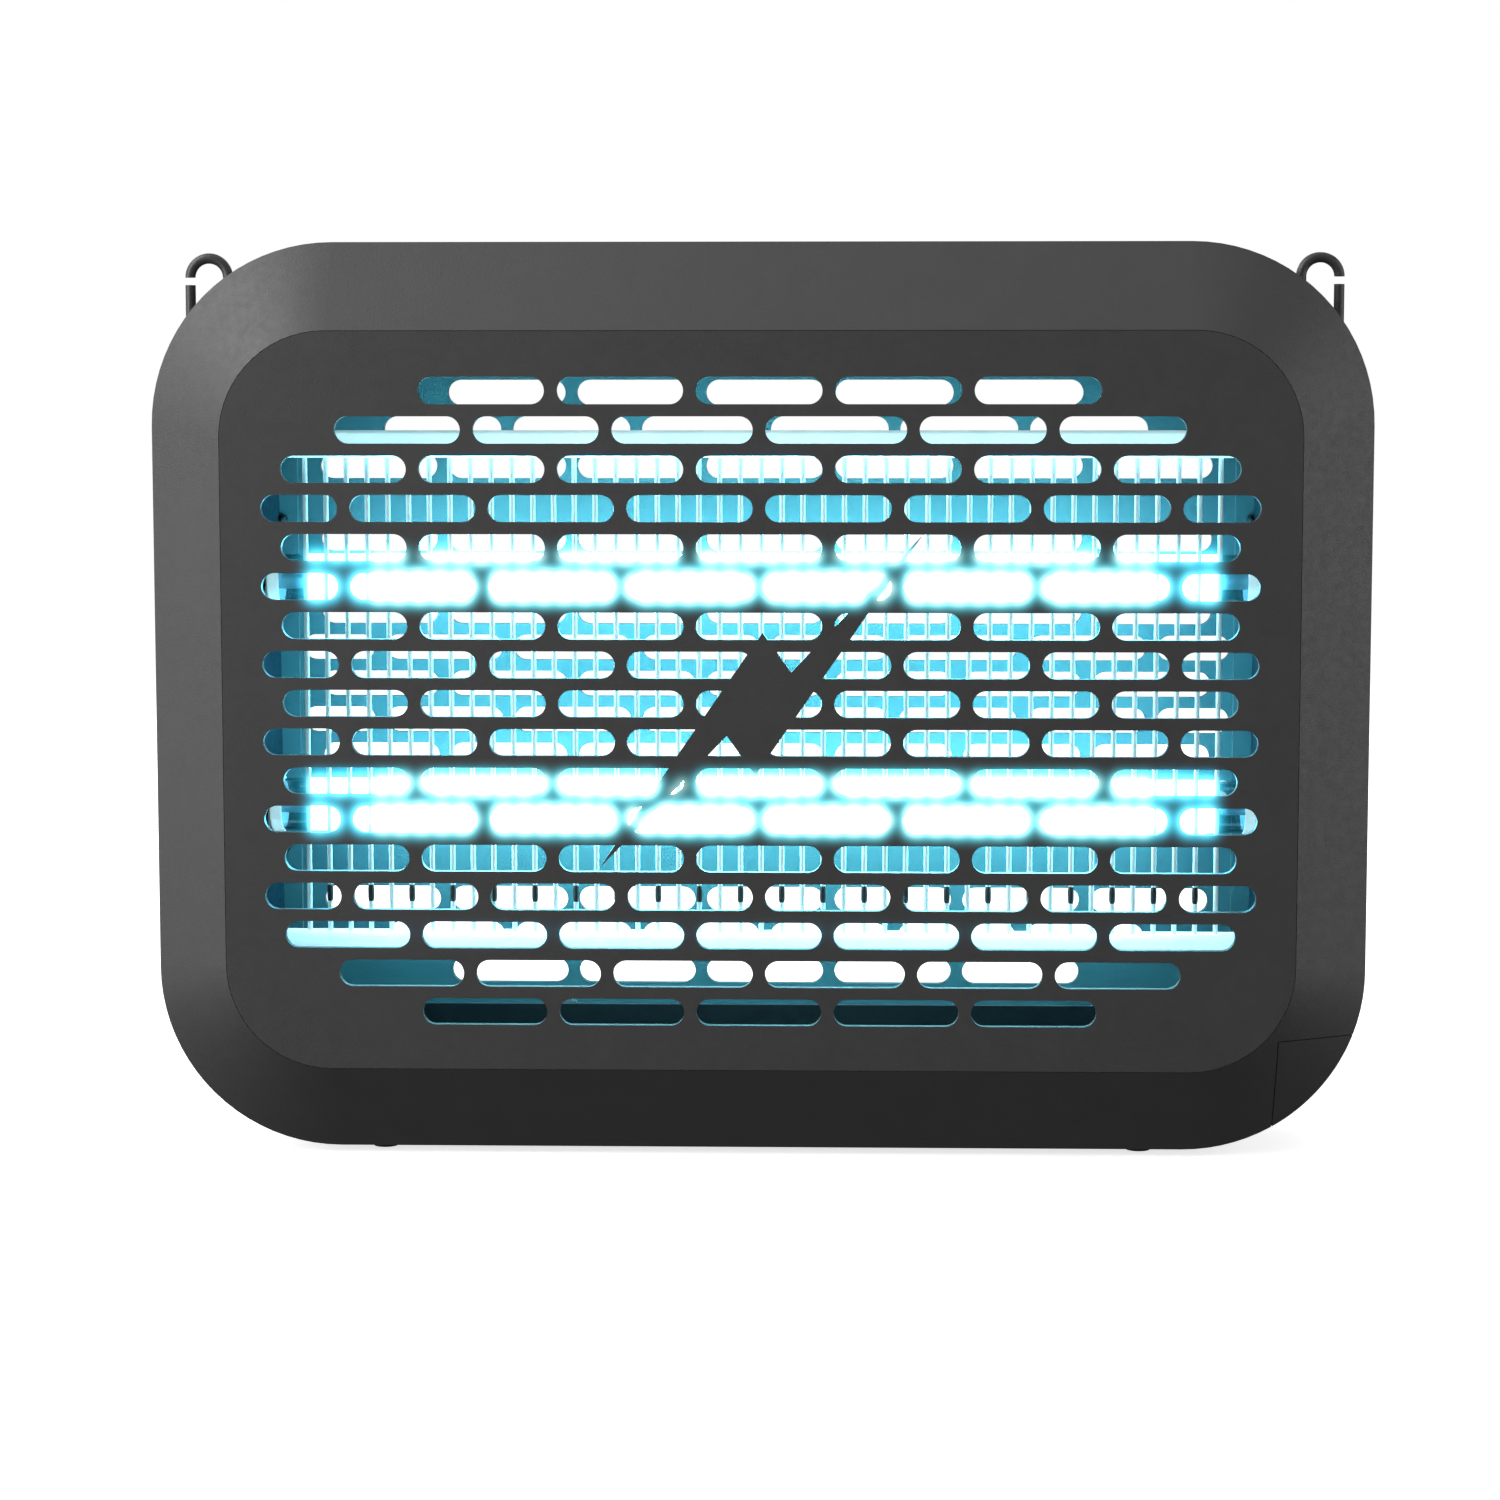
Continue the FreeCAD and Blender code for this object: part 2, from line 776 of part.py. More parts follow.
def front_bezel(envelope, cavity, hook_channels):
    insides = [
        ledge("front_ledge", f"{FRONT} + wall_thickness", "flat_width", "flat_height", "flat_radius",
              "ledge_width"),
        runner("front_runner", "runner_front_y"),
        hook_block("front_hook_block_right", 1),
        hook_block("front_hook_block_left", -1),
    ]
    insides += [
        rod("front_post", "y", FRONT, 0, (x, up(z)), "post_radius") for x, z in post_places()
    ]
    holes = [
        rounded_plate("front_window", f"{FRONT} - cut_margin", "wall_thickness + cut_margin",
                      "flat_width", "flat_height", "flat_radius"),
        tray_doorway("front_doorway"),
        hook_channels,
    ]
    holes += [
        rod("pilot_hole", "y", "-cover_screw_reach - cut_margin", "cut_margin", (x, up(z)),
            "cover_screw_radius")
        for x, z in post_places()
    ]
    holes += [
        rod("front_ledge_hole", "y", FRONT, f"{FRONT} + wall_thickness + ledge_thickness + cut_margin",
            (x, up(z)), "small_screw_radius")
        for x, z in front_screw_places()
    ]
    holes += [foot_hole("front_foot_hole", s, "front_foot_y") for s in (-1, 1)]
    shell("front_bezel", envelope, cavity, insides, holes, "-body_depth", "0")


def back_shell(envelope, cavity, hook_channels):
    insides = [
        ledge("back_rest", f"{CAVITY_BACK} - ledge_thickness", "back_width", "back_height", "back_radius",
              "back_ledge"),
        runner("back_runner", "runner_back_y"),
        hook_block("back_hook_block_right", 1),
        hook_block("back_hook_block_left", -1),
    ]
    insides += [
        rod("back_post", "y", 0, f"{CAVITY_BACK} + cut_margin", (x, up(z)), "post_radius")
        for x, z in post_places()
    ]
    insides += [
        rod("back_boss", "y", f"{BACK} - back_screw_length - boss_floor", CAVITY_BACK, (x, up(z)),
            "small_screw_radius + boss_wall")
        for x, z in back_screw_places() if x.endswith("back_screw_top_x")
    ]
    holes = [
        rounded_plate("back_window", CAVITY_BACK, "wall_thickness + cut_margin",
                      "back_width", "back_height", "back_radius"),
        tray_doorway("back_doorway"),
        hook_channels,
        box("inlet_hole", ("fitting_x - inlet_half_width", "fitting_x + inlet_half_width"),
            ("inlet_front_y", f"{BACK} + cut_margin"),
            (up("inlet_z - inlet_half_height"), up("inlet_z + inlet_half_height"))),
        box("rocker_hole", ("fitting_x - rocker_half_width - rocker_window",
                            "fitting_x + rocker_half_width + rocker_window"),
            ("switch_front_y", f"{BACK} + cut_margin"),
            (up("switch_z - rocker_room_half"), up("switch_z + rocker_room_half"))),
    ]
    for x, z in post_places():
        holes.append(rod("screw_passage", "y", "-cut_margin", "body_depth", (x, up(z)),
                         "cover_screw_radius + passage_clearance"))
        holes.append(rod("screw_well", "y", "cover_head_seat", "body_depth", (x, up(z)),
                         "cover_screw_head + well_clearance"))
    holes += [
        rod("back_ledge_hole", "y", f"{BACK} - back_screw_length", BACK, (x, up(z)),
            "small_screw_radius")
        for x, z in back_screw_places()
    ]
    holes += [
        rod("frame_screw_hole", "y", f"{CAVITY_BACK} - ledge_thickness", f"{BACK} - frame_screw_stop",
            (f"{s} * frame_screw_x", up(f"{t} * frame_screw_z")), "small_screw_radius")
        for s in (-1, 1) for t in (-1, 1)
    ]
    holes += [foot_hole("back_foot_hole", s, "back_foot_y") for s in (-1, 1)]
    shell("back_shell", envelope, cavity, insides, holes, "0", "body_depth")


def housing_screws():
    group("cover_screws", [
        screw("cover_screw", "y", "cover_head_seat + cover_head_height", "cover_head_seat",
              "-cover_screw_reach", (x, up(z)), COVER_RADII)
        for x, z in post_places()
    ])
    behind = f"{FRONT} + wall_thickness + ledge_thickness"
    group("front_grille_screws", [
        screw("front_screw", "y", f"{behind} + small_head_height", behind,
              f"{FRONT} + wall_thickness - front_screw_bite", (x, up(z)), SMALL_RADII)
        for x, z in front_screw_places()
    ])
    group("back_grille_screws", [
        screw("back_screw", "y", BACK, f"{BACK} - back_head_height",
              f"{BACK} - back_screw_length", (x, up(z)), SMALL_RADII)
        for x, z in back_screw_places()
    ])


def foot(label, x, y):
    """A tapered rubber foot with a stem pressed through the floor."""
    body = new_body(label)
    outline = body_sketch(body, label + "_outline", "XZ_Plane")
    floor_top = "foot_height + wall_thickness"
    add_polygon(outline, [
        ("0", "0"),
        ("foot_tip_radius", "0"),
        ("foot_top_radius", "foot_height"),
        ("foot_stem_radius", "foot_height"),
        ("foot_stem_radius", floor_top),
        ("foot_bulge_radius", floor_top),
        ("foot_stem_radius - foot_stem_taper", f"{floor_top} + foot_stem_end"),
        ("0", f"{floor_top} + foot_stem_end"),
    ])
    revolved(body, label + "_turn", outline, "V_Axis")
    place(body, x, y, 0)
    keep(body, label)


def hook(name, clearance):
    """An open wire loop: a full bend on top, a gap on its outer side, and legs into the housing."""
    wire = f"hook_wire + {clearance}"
    bends = []
    for part, turn, z in (("top", FACING_FRONT, "hook_top_bend_z"),
                          ("low", FACING_FRONT_INVERTED, "hook_low_bend_z")):
        bend = doc.addObject("Part::Torus", f"{name}_{part}_bend")
        bend.setExpression("Radius1", linked("hook_bend"))
        bend.setExpression("Radius2", linked(wire))
        bend.Angle3 = 180
        place(bend, "hook_x", 0, up(z), turn)
        bends.append(bend)
    inner = rod(name + "_inner_leg", "z", up("hook_low_bend_z"), up("hook_top_bend_z"),
                ("hook_x - hook_bend", 0), wire)
    outer = rod(name + "_outer_leg", "z", up("hook_low_bend_z"), up("hook_post_top_z"),
                ("hook_x + hook_bend", 0), wire)
    return fuse(name, *bends, inner, outer)


# ---------------------------------------------------------------- tray

def tray(envelope, cavity):
    bin_body = new_body("tray_bin")
    base = body_sketch(bin_body, "bin_base", "XY_Plane", "tray_bottom")
    add_rectangle(base, ("-tray_left", "tray_right"), ("-tray_front", "tray_back"))
    pad(bin_body, "bin_block", base, "tray_top - tray_bottom")
    hollow = body_sketch(bin_body, "bin_hollow", "XY_Plane", "tray_bottom + tray_wall")
    add_rectangle(hollow, ("-tray_left + tray_wall", "tray_right - tray_wall"),
                  ("-tray_front + tray_wall", "tray_back - tray_wall"))
    pocket(bin_body, "bin_room", hollow, "tray_top")
    holes = body_sketch(bin_body, "bin_screw_holes", "YZ_Plane", "tray_right - 2 * tray_wall")
    for side in (-1, 1):
        add_circle(holes, f"{side} * tray_screw_y", "tray_screw_z", "small_screw_radius")
    pocket(bin_body, "bin_screw_cut", holes, "3 * tray_wall")
    keep(bin_body, "tray_bin")

    corner = box("cap_corner", ("tray_right", "body_width"), ("-body_depth", "body_depth"),
                 ("-foot_height", "cap_seam_z - cap_gap"))
    inside = box("cap_inside", ("tray_right + cap_wall", "body_width"), ("-body_depth", "body_depth"),
                 ("-foot_height", "cap_seam_z + cap_gap"))
    skin = cut("cap_skin", common("cap_solid", envelope, corner), common("cap_room", cavity, inside))
    backing = common("scoop_backing", envelope, rod(
        "scoop_backing_rod", "y", "-scoop_half - scoop_wall", "scoop_half + scoop_wall",
        ("scoop_x", "scoop_z"), "scoop_radius + scoop_wall"))
    scoop = rod("scoop", "y", "-scoop_half", "scoop_half", ("scoop_x", "scoop_z"), "scoop_radius")
    bites = [
        rod("cap_screw_hole", "x", "tray_right - cut_margin", "tray_right + cap_wall - tray_hole_stop",
            (f"{side} * tray_screw_y", "tray_screw_z"), "small_screw_radius")
        for side in (-1, 1)
    ]
    keep(cut("tray_end_cap", fuse("cap_with_backing", skin, backing), scoop, *bites), "tray_end_cap")
    inner_face = "tray_right - tray_wall"
    group("tray_screws", [
        screw("tray_screw", "x", f"{inner_face} - small_head_height", inner_face,
              "tray_right + cap_wall - tray_screw_stop",
              (f"{side} * tray_screw_y", "tray_screw_z"), SMALL_RADII)
        for side in (-1, 1)
    ])


# ---------------------------------------------------------------- end frames and lamps

def standoff_places(low, high):
    return [(f"{s} * (board_half_depth - board_inset)", z)
            for s in (-1, 1) for z in (f"{low} + board_inset", f"{high} - board_inset")]


def end_frame(label, board_low, board_high):
    """The upright that carries lamp holders and grid rails, with a shelf, a flange and standoffs."""
    body = new_body(label)
    outline = body_sketch(body, label + "_outline", "YZ_Plane", "frame_face")
    add_rectangle(outline, ("frame_front_y", "frame_back_y"), ("frame_low_z", "frame_high_z"))
    pad(body, label + "_plate", outline, "frame_back - frame_face")
    shelf = body_sketch(body, label + "_shelf_outline", "YZ_Plane", "frame_face")
    add_rectangle(shelf, ("shelf_front_y", "frame_back_y"), ("shelf_low_z", "shelf_high_z"))
    pad(body, label + "_shelf", shelf, "shelf_end - frame_face")
    flange = body_sketch(body, label + "_flange_outline", "YZ_Plane", "frame_face")
    add_rectangle(flange, ("frame_back_y - flange_thickness", "frame_back_y"),
                  ("-flange_half_z", "flange_half_z"))
    pad(body, label + "_flange", flange, "flange_end - frame_face")
    studs = body_sketch(body, label + "_studs", "YZ_Plane", "frame_face")
    for y, z in standoff_places(board_low, board_high):
        add_circle(studs, y, z, "standoff_radius")
    pad(body, label + "_standoffs", studs, "board_face - frame_face")
    windows = body_sketch(body, label + "_windows", "YZ_Plane", "frame_face - cut_margin")
    for level in (-1, 1):
        height = f"{level} * lamp_z"
        add_rectangle(windows, ("-holder_half_depth", "holder_half_depth"),
                      (f"{height} - holder_half_height", f"{height} + holder_half_height"))
    pocket(body, label + "_window_cut", windows, "frame_back - frame_face + 2 * cut_margin")
    bores = body_sketch(body, label + "_bores", "YZ_Plane", "frame_face - cut_margin")
    for y, z in standoff_places(board_low, board_high):
        add_circle(bores, y, z, "small_screw_radius")
    for level in (-1, 1):
        add_circle(bores, "grid_y", f"{level} * (rail_low_z + rail_high_z) / 2", "small_screw_radius")
    add_circle(bores, "lead_hole_y", "lead_hole_z", "lead_hole_radius")
    pocket(body, label + "_bore_cut", bores, "board_face - frame_face + 2 * cut_margin")
    eyes = body_sketch(body, label + "_eyes", "XZ_Plane", "-(frame_back_y + cut_margin)")
    for level in (-1, 1):
        add_circle(eyes, "frame_screw_x", f"{level} * frame_screw_z", "small_screw_radius")
    pocket(body, label + "_eye_cut", eyes, "flange_thickness + 2 * cut_margin")
    place(body, 0, 0, CENTRE)
    return body


def end_frames():
    right = end_frame("end_frame_right", "ballast_low_z", "ballast_high_z")
    keep(right, "end_frame_right")
    left = end_frame("left_frame_pattern", "-hv_half_z", "hv_half_z")
    mirrored("end_frame_left", left)
    inner = "frame_back_y - flange_thickness"
    group("frame_screws", [
        screw("frame_screw", "y", f"{inner} - small_head_height", inner, f"{BACK} - frame_screw_stop",
              (f"{s} * frame_screw_x", up(f"{t} * frame_screw_z")), SMALL_RADII)
        for s in (-1, 1) for t in (-1, 1)
    ])
    screws = []
    for side in (-1, 1):
        for level in (-1, 1):
            centre = ("grid_y", up(f"{level} * (rail_low_z + rail_high_z) / 2"))
            screws.append(screw(
                "rail_screw", "x", f"{side} * (frame_back + small_head_height)", f"{side} * frame_back",
                f"{side} * (frame_face - rail_screw_reach)", centre, SMALL_RADII))
    group("rail_screws", screws)


def lamp_holder(label, level):
    """A push-and-twist lamp holder: a round seat for the rotor and a slot that the pins enter by."""
    body = new_body(label)
    outline = body_sketch(body, label + "_outline", "YZ_Plane", "holder_face")
    add_rectangle(outline, ("-holder_half_depth", "holder_half_depth"),
                  ("-holder_half_height", "holder_half_height"))
    pad(body, label + "_block", outline, "holder_back - holder_face")
    seat = body_sketch(body, label + "_seat", "YZ_Plane", "holder_face")
    add_circle(seat, "0", "0", "rotor_bore")
    pocket(body, label + "_seat_cut", seat, "rotor_seat - holder_face")
    contacts = body_sketch(body, label + "_contacts", "YZ_Plane", "holder_face")
    add_circle(contacts, "0", "0", "contact_radius")
    pocket(body, label + "_contact_cut", contacts, "contact_end - holder_face")
    entry = body_sketch(body, label + "_entry", "YZ_Plane", "holder_face")
    add_rectangle(entry, ("-holder_half_depth - cut_margin", "0"), ("-entry_half", "entry_half"))
    pocket(body, label + "_entry_cut", entry, "contact_end - holder_face")
    place(body, 0, 0, up(f"{level} * lamp_z"))
    return body


def pin_places(level):
    return [(0, up(f"{level} * lamp_z + {s} * pin_offset")) for s in (-1, 1)]


def lamp(position, level):
    """One tube with its glass, end caps, pins, filaments and the two rotors that turn with it."""
    axis = (0, up(f"{level} * lamp_z"))
    glass = new_body(f"{position}_tube_glass")
    profile = body_sketch(glass, f"{position}_glass_outline", "XY_Plane")
    add_rectangle(profile, ("-glass_half", "glass_half"), ("glass_radius - glass_wall", "glass_radius"))
    revolved(glass, f"{position}_glass_turn", profile, "H_Axis")
    place(glass, 0, 0, axis[1])
    keep(glass, f"{position}_tube_glass")

    cap = new_body(f"{position}_cap_pattern")
    cup = body_sketch(cap, f"{position}_cup_outline", "XY_Plane")
    plate_start = "lamp_half - cap_plate"
    add_polygon(cup, [
        ("lamp_half - cap_skirt", "glass_radius"),
        ("lamp_half - cap_skirt", "cap_radius"),
        ("lamp_half - cap_corner_length", "cap_radius"),
        ("lamp_half", "cap_radius - cap_corner_depth"),
        ("lamp_half", "0"),
        (plate_start, "0"),
        (plate_start, "glass_radius"),
    ])
    revolved(cap, f"{position}_cup_turn", cup, "H_Axis")
    place(cap, 0, 0, axis[1])
    pins, pin_holes, rotors, filaments, caps = [], [], [], [], []
    for side in (-1, 1):
        ends = sorted((f"{side} * ({plate_start})", f"{side} * pin_tip"), key=value)
        for spot in pin_places(level):
            pins.append(rod("lamp_pin", "x", *ends, spot, "pin_radius"))
            pin_holes.append(rod("lamp_pin_hole", "x", *ends, spot, "pin_radius"))
        ends = sorted((f"{side} * rotor_start", f"{side} * rotor_end"), key=value)
        rotors.append(rod("rotor_disc", "x", *ends, axis, "rotor_radius"))
        ends = sorted((f"{side} * stem_start", f"{side} * glass_half"), key=value)
        stem = rod("stem", "x", *ends, axis, "stem_radius")
        coil = rod("filament", "y", "-filament_half", "filament_half",
                   (f"{side} * stem_start", axis[1]), "filament_radius")
        filaments.append(fuse("mount", stem, coil))
    other_cap = doc.addObject("Part::Mirroring", f"{position}_cap_left")
    other_cap.Source = cap
    other_cap.Normal = Vector(1, 0, 0)
    both = doc.addObject("Part::Compound", f"{position}_caps_plain")
    both.Links = [cap, other_cap]
    keep(cut(f"{position}_tube_caps", both, *pin_holes), f"{position}_tube_caps")
    group(f"{position}_tube_pins", pins)
    group(f"{position}_tube_filaments", filaments)
    discs = doc.addObject("Part::Compound", f"{position}_discs")
    discs.Links = rotors
    keep(cut(f"{position}_holder_rotors", discs, *pin_holes), f"{position}_holder_rotors")
    holder = lamp_holder(f"{position}_lamp_holder_right", level)
    keep(holder, f"{position}_lamp_holder_right")
    mirrored(f"{position}_lamp_holder_left", holder)


# ---------------------------------------------------------------- wire grid

def grid_rail(label, level, wires):
    """An insulating bar between the end frames, bored for the wires."""
    low, high = sorted((f"{level} * rail_low_z", f"{level} * rail_high_z"), key=value)
    bar = box(label + "_bar", ("-frame_face", "frame_face"),
              ("grid_y - rail_half_depth", "grid_y + rail_half_depth"), (up(low), up(high)))
    centre = ("grid_y", up(f"{level} * (rail_low_z + rail_high_z) / 2"))
    ends = []
    for side in (-1, 1):
        span = (f"{side} * (frame_face - rail_screw_reach)", f"{side} * (frame_face + cut_margin)")
        ends.append(rod(label + "_end_hole", "x", *sorted(span, key=value), centre, "small_screw_radius"))
    keep(cut(label, bar, *wires, *ends), label)


def electrode(label, level, indices):
    """A row of upright wires welded to a bus strip that lies outside its rail."""
    low, high = sorted((f"{level} * rail_high_z", f"-{level} * wire_end_z"), key=value)
    wires = [rod(label + "_wire", "z", up(low), up(high), (f"{i} * wire_pitch", "grid_y"), "wire_radius")
             for i in indices]
    low, high = sorted((f"{level} * rail_high_z", f"{level} * (rail_high_z + bus_thickness)"), key=value)
    bus = box(label + "_bus", ("-bus_half", "bus_half"),
              ("grid_y - bus_half_depth", "grid_y + bus_half_depth"), (up(low), up(high)))
    keep(fuse(label, bus, *wires), label)


def wire_grid():
    pairs = int(value("wire_pairs"))
    live = range(1 - pairs, pairs, 2)
    earth = range(-pairs, pairs + 1, 2)
    electrode("live_electrode", 1, live)
    electrode("return_electrode", -1, earth)
    middle = up("0")
    through = up("rail_high_z + cut_margin")
    through_low = up("-rail_high_z - cut_margin")

    def holes(indices, low, high):
        return [rod("wire_bore", "z", low, high, (f"{i} * wire_pitch", "grid_y"), "wire_hole")
                for i in indices]

    grid_rail("top_grid_rail", 1,
              holes(live, middle, through) + holes(earth, middle, up("wire_end_z")))
    grid_rail("bottom_grid_rail", -1,
              holes(earth, through_low, middle) + holes(live, up("-wire_end_z"), middle))
    group("wire_sleeves", [
        cut("sleeve", rod("sleeve_outside", "z", up("sleeve_low_z"), up("sleeve_top_z"),
                          (f"{i} * wire_pitch", "grid_y"), "sleeve_radius"),
            rod("sleeve_bore", "z", up("sleeve_low_z - cut_margin"), up("sleeve_top_z + cut_margin"),
                (f"{i} * wire_pitch", "grid_y"), "wire_radius"))
        for i in live
    ])


# ---------------------------------------------------------------- electronics

def board(label, side, low, high):
    x = sorted((f"{side} * board_face", f"{side} * board_back"), key=value)
    plate = box(label + "_blank", x, ("-board_half_depth", "board_half_depth"), (up(low), up(high)))
    holes = [rod(label + "_hole", "x", f"{x[0]} - cut_margin", f"{x[1]} + cut_margin", (y, up(z)),
                 "small_screw_radius")
             for y, z in standoff_places(low, high)]
    keep(cut(label, plate, *holes), label)
    return [
        screw(label + "_screw", "x", f"{side} * (board_back + small_head_height)", f"{side} * board_back",
              f"{side} * (frame_back + board_screw_stop)", (y, up(z)), SMALL_RADII)
        for y, z in standoff_places(low, high)
    ]


def on_board(side, height):
    """The X range of a part that stands this high on the outer face of a board."""
    return sorted((f"{side} * board_back", f"{side} * (board_back + {height})"), key=value)


def block_on_board(name, side, height, y, z):
    return box(name, on_board(side, height), y, (up(z[0]), up(z[1])))


def ballast_parts():
    core_y = ("choke_front_y", "choke_back_y")
    lower_flange = ("choke_low_z", "choke_low_z + choke_flange")
    upper_flange = ("choke_high_z - choke_flange", "choke_high_z")
    choke = fuse(
        "choke",
        block_on_board("choke_core", 1, "choke_height", core_y, lower_flange),
        block_on_board("choke_core_far", 1, "choke_height", core_y, upper_flange),
        rod("choke_winding", "z", up(lower_flange[1]), up(upper_flange[0]),
            ("board_back + winding_lift", "winding_y"), "winding_radius"),
    )
    keep(choke, "ballast_choke")
    can = rod("ballast_capacitor", "z", up("can_low_z"), up("can_high_z"),
              ("board_back + can_radius", "can_y"), "can_radius")
    keep(can, "ballast_capacitor")
    group("ballast_film_capacitors", [
        block_on_board("film_capacitor", 1, "film_height",
                       (f"{i} * film_pitch", f"{i} * film_pitch + film_width"),
                       ("film_low_z", "film_high_z"))
        for i in (-1, 0, 1)
    ])
    group("ballast_transistors", [
        block_on_board("transistor", 1, "chip_height", ("chip_front_y", "chip_back_y"),
                       (f"chip_low_z + {i} * chip_pitch", f"chip_low_z + {i} * chip_pitch + chip_length"))
        for i in (0, 1)
    ])
    board_fuse = rod("board_fuse", "y", "fuse_front_y", "fuse_back_y",
                     ("board_back + fuse_lift", up("fuse_z")), "fuse_radius")
    keep(board_fuse, "board_fuse")


def high_voltage_parts():
    group("multiplier_capacitors", [
        block_on_board("multiplier_capacitor", -1, "hv_capacitor_height",
                       (y, f"{y} + hv_capacitor_width"), (z, f"{z} + hv_capacitor_length"))
        for y in ("hv_front_y", "hv_back_y") for z in ("hv_low_z", "hv_high_z")
    ])
    group("multiplier_diodes", [
        rod("diode", "z", up(z), up(f"{z} + diode_length"), ("-board_back - diode_radius", y),
            "diode_radius")
        for y in ("diode_front_y", "diode_back_y") for z in ("diode_low_z", "diode_high_z")
    ])
    group("bleed_resistors", [
        rod("resistor", "z", up(z), up(f"{z} + resistor_length"),
            ("-board_back - resistor_radius", "resistor_y"), "resistor_radius")
        for z in ("resistor_low_z", "resistor_high_z")
    ])


def boards():
    screws = board("ballast_board", 1, "ballast_low_z", "ballast_high_z")
    screws += board("high_voltage_board", -1, "-hv_half_z", "hv_half_z")
    group("board_screws", screws)
    ballast_parts()
    high_voltage_parts()


def power_inlet():
    """A recessed two-pin figure-eight socket in the back, with its pins and solder tails."""
    x = "fitting_x"
    body = box("inlet_block", (f"{x} - inlet_half_width", f"{x} + inlet_half_width"),
               ("inlet_front_y", BACK),
               (up("inlet_z - inlet_half_height"), up("inlet_z + inlet_half_height")))
    floor = f"{BACK} - socket_depth"
    mouth = f"{BACK} + cut_margin"
    slot = box("socket_middle", (f"{x} - socket_half_width", f"{x} + socket_half_width"), (floor, mouth),
               (up("inlet_z - socket_half_height + socket_half_width"),
                up("inlet_z + socket_half_height - socket_half_width")))
    ends = [
        rod("socket_end", "y", floor, mouth,
            (x, up(f"inlet_z + {s} * (socket_half_height - socket_half_width)")), "socket_half_width")
        for s in (-1, 1)
    ]
    centres = [(x, up(f"inlet_z + {s} * inlet_pin_offset")) for s in (-1, 1)]
    pin_end = f"{BACK} - inlet_pin_recess"
    holes = [rod("inlet_pin_hole", "y", "inlet_tail_y", pin_end, c, "inlet_pin_radius") for c in centres]
    keep(cut("power_inlet", body, slot, *ends, *holes), "power_inlet")
    pins = [rod("inlet_pin", "y", "inlet_tail_y", pin_end, c, "inlet_pin_radius") for c in centres]
    group("inlet_pins", pins)


def power_switch():
    """A rocker switch behind a window in the back wall; the rocker tips about a pin along X."""
    x = "fitting_x"
    half_room = "(rocker_half_width + rocker_window)"
    body = box("switch_block", (f"{x} - switch_half_width", f"{x} + switch_half_width"),
               ("switch_front_y", CAVITY_BACK),
               (up("switch_z - switch_half_height"), up("switch_z + switch_half_height")))
    room = box("switch_room", (f"{x} - {half_room}", f"{x} + {half_room}"),
               ("rocker_pivot_y - rocker_room_depth", BACK),
               (up("switch_z - rocker_room_half"), up("switch_z + rocker_room_half")))
    pivot = ("rocker_pivot_y", up("switch_z"))
    bore = rod("pivot_bore", "x", f"{x} - rocker_pin_half", f"{x} + rocker_pin_half", pivot,
               "rocker_pin_radius + rocker_bore_gap")
    tails = [
        box("terminal", (f"{x} - terminal_half", f"{x} + terminal_half"),
            ("terminal_y", "switch_front_y + terminal_bite"),
            (up(f"switch_z + {s} * terminal_offset - terminal_half_height"),
             up(f"switch_z + {s} * terminal_offset + terminal_half_height")))
        for s in (-1, 1)
    ]
    keep(cut("switch_body", body, room, bore, *tails), "switch_body")
    group("switch_terminals", tails)

    rocker = new_body("rocker_pattern")
    outline = body_sketch(rocker, "rocker_outline", "YZ_Plane", "fitting_x - rocker_half_width")
    lower = [
        ("-rocker_root", "-rocker_root"),
        ("rocker_crown - rocker_skirt", "-rocker_half_height"),
        ("rocker_crown", "-rocker_half_height"),
    ]
    upper = [(y, z.lstrip("-")) for y, z in reversed(lower)]
    add_polygon(outline, lower + [("rocker_crown - rocker_dip", "0")] + upper)
    pad(rocker, "rocker_pad", outline, "2 * rocker_half_width")
    place(rocker, 0, *pivot, Rotation(Vector(1, 0, 0), ROCKER_TILT))
    pin = rod("rocker_pin", "x", f"{x} - rocker_pin_half + rocker_pin_gap",
              f"{x} + rocker_pin_half - rocker_pin_gap", pivot, "rocker_pin_radius")
    keep(fuse("switch_rocker", rocker, pin), "switch_rocker")


# ---------------------------------------------------------------- leads

def lead(name, route):
    """An insulated wire along straight runs joined by tangent arcs."""
    points = [Vector(*[value(c) for c in point]) for point in route]
    bend = value("lead_bend")
    edges = []
    start = points[0]
    for before, corner, after in zip(points, points[1:], points[2:]):
        into = (corner - before).normalize()
        out = (after - corner).normalize()
        turn = into.getAngle(out)
        room = 0.45 * min((corner - before).Length, (after - corner).Length)
        setback = min(room, bend * math.tan(turn / 2))
        radius = setback / math.tan(turn / 2)
        begin = corner - into * setback
        end = corner + out * setback
        inward = (out - into).normalize()
        middle = corner + inward * (radius / math.cos(turn / 2) - radius)
        edges.append(Part.LineSegment(start, begin).toShape())
        edges.append(Part.Arc(begin, middle, end).toShape())
        start = end
    edges.append(Part.LineSegment(start, points[-1]).toShape())
    path = Part.Wire(edges)
    profile = Part.Wire(Part.Circle(points[0], points[1] - points[0], value("lead_radius")).toShape())
    tube = doc.addObject("Part::Feature", name)
    tube.Shape = path.makePipeShell([profile], True, False)
    return tube


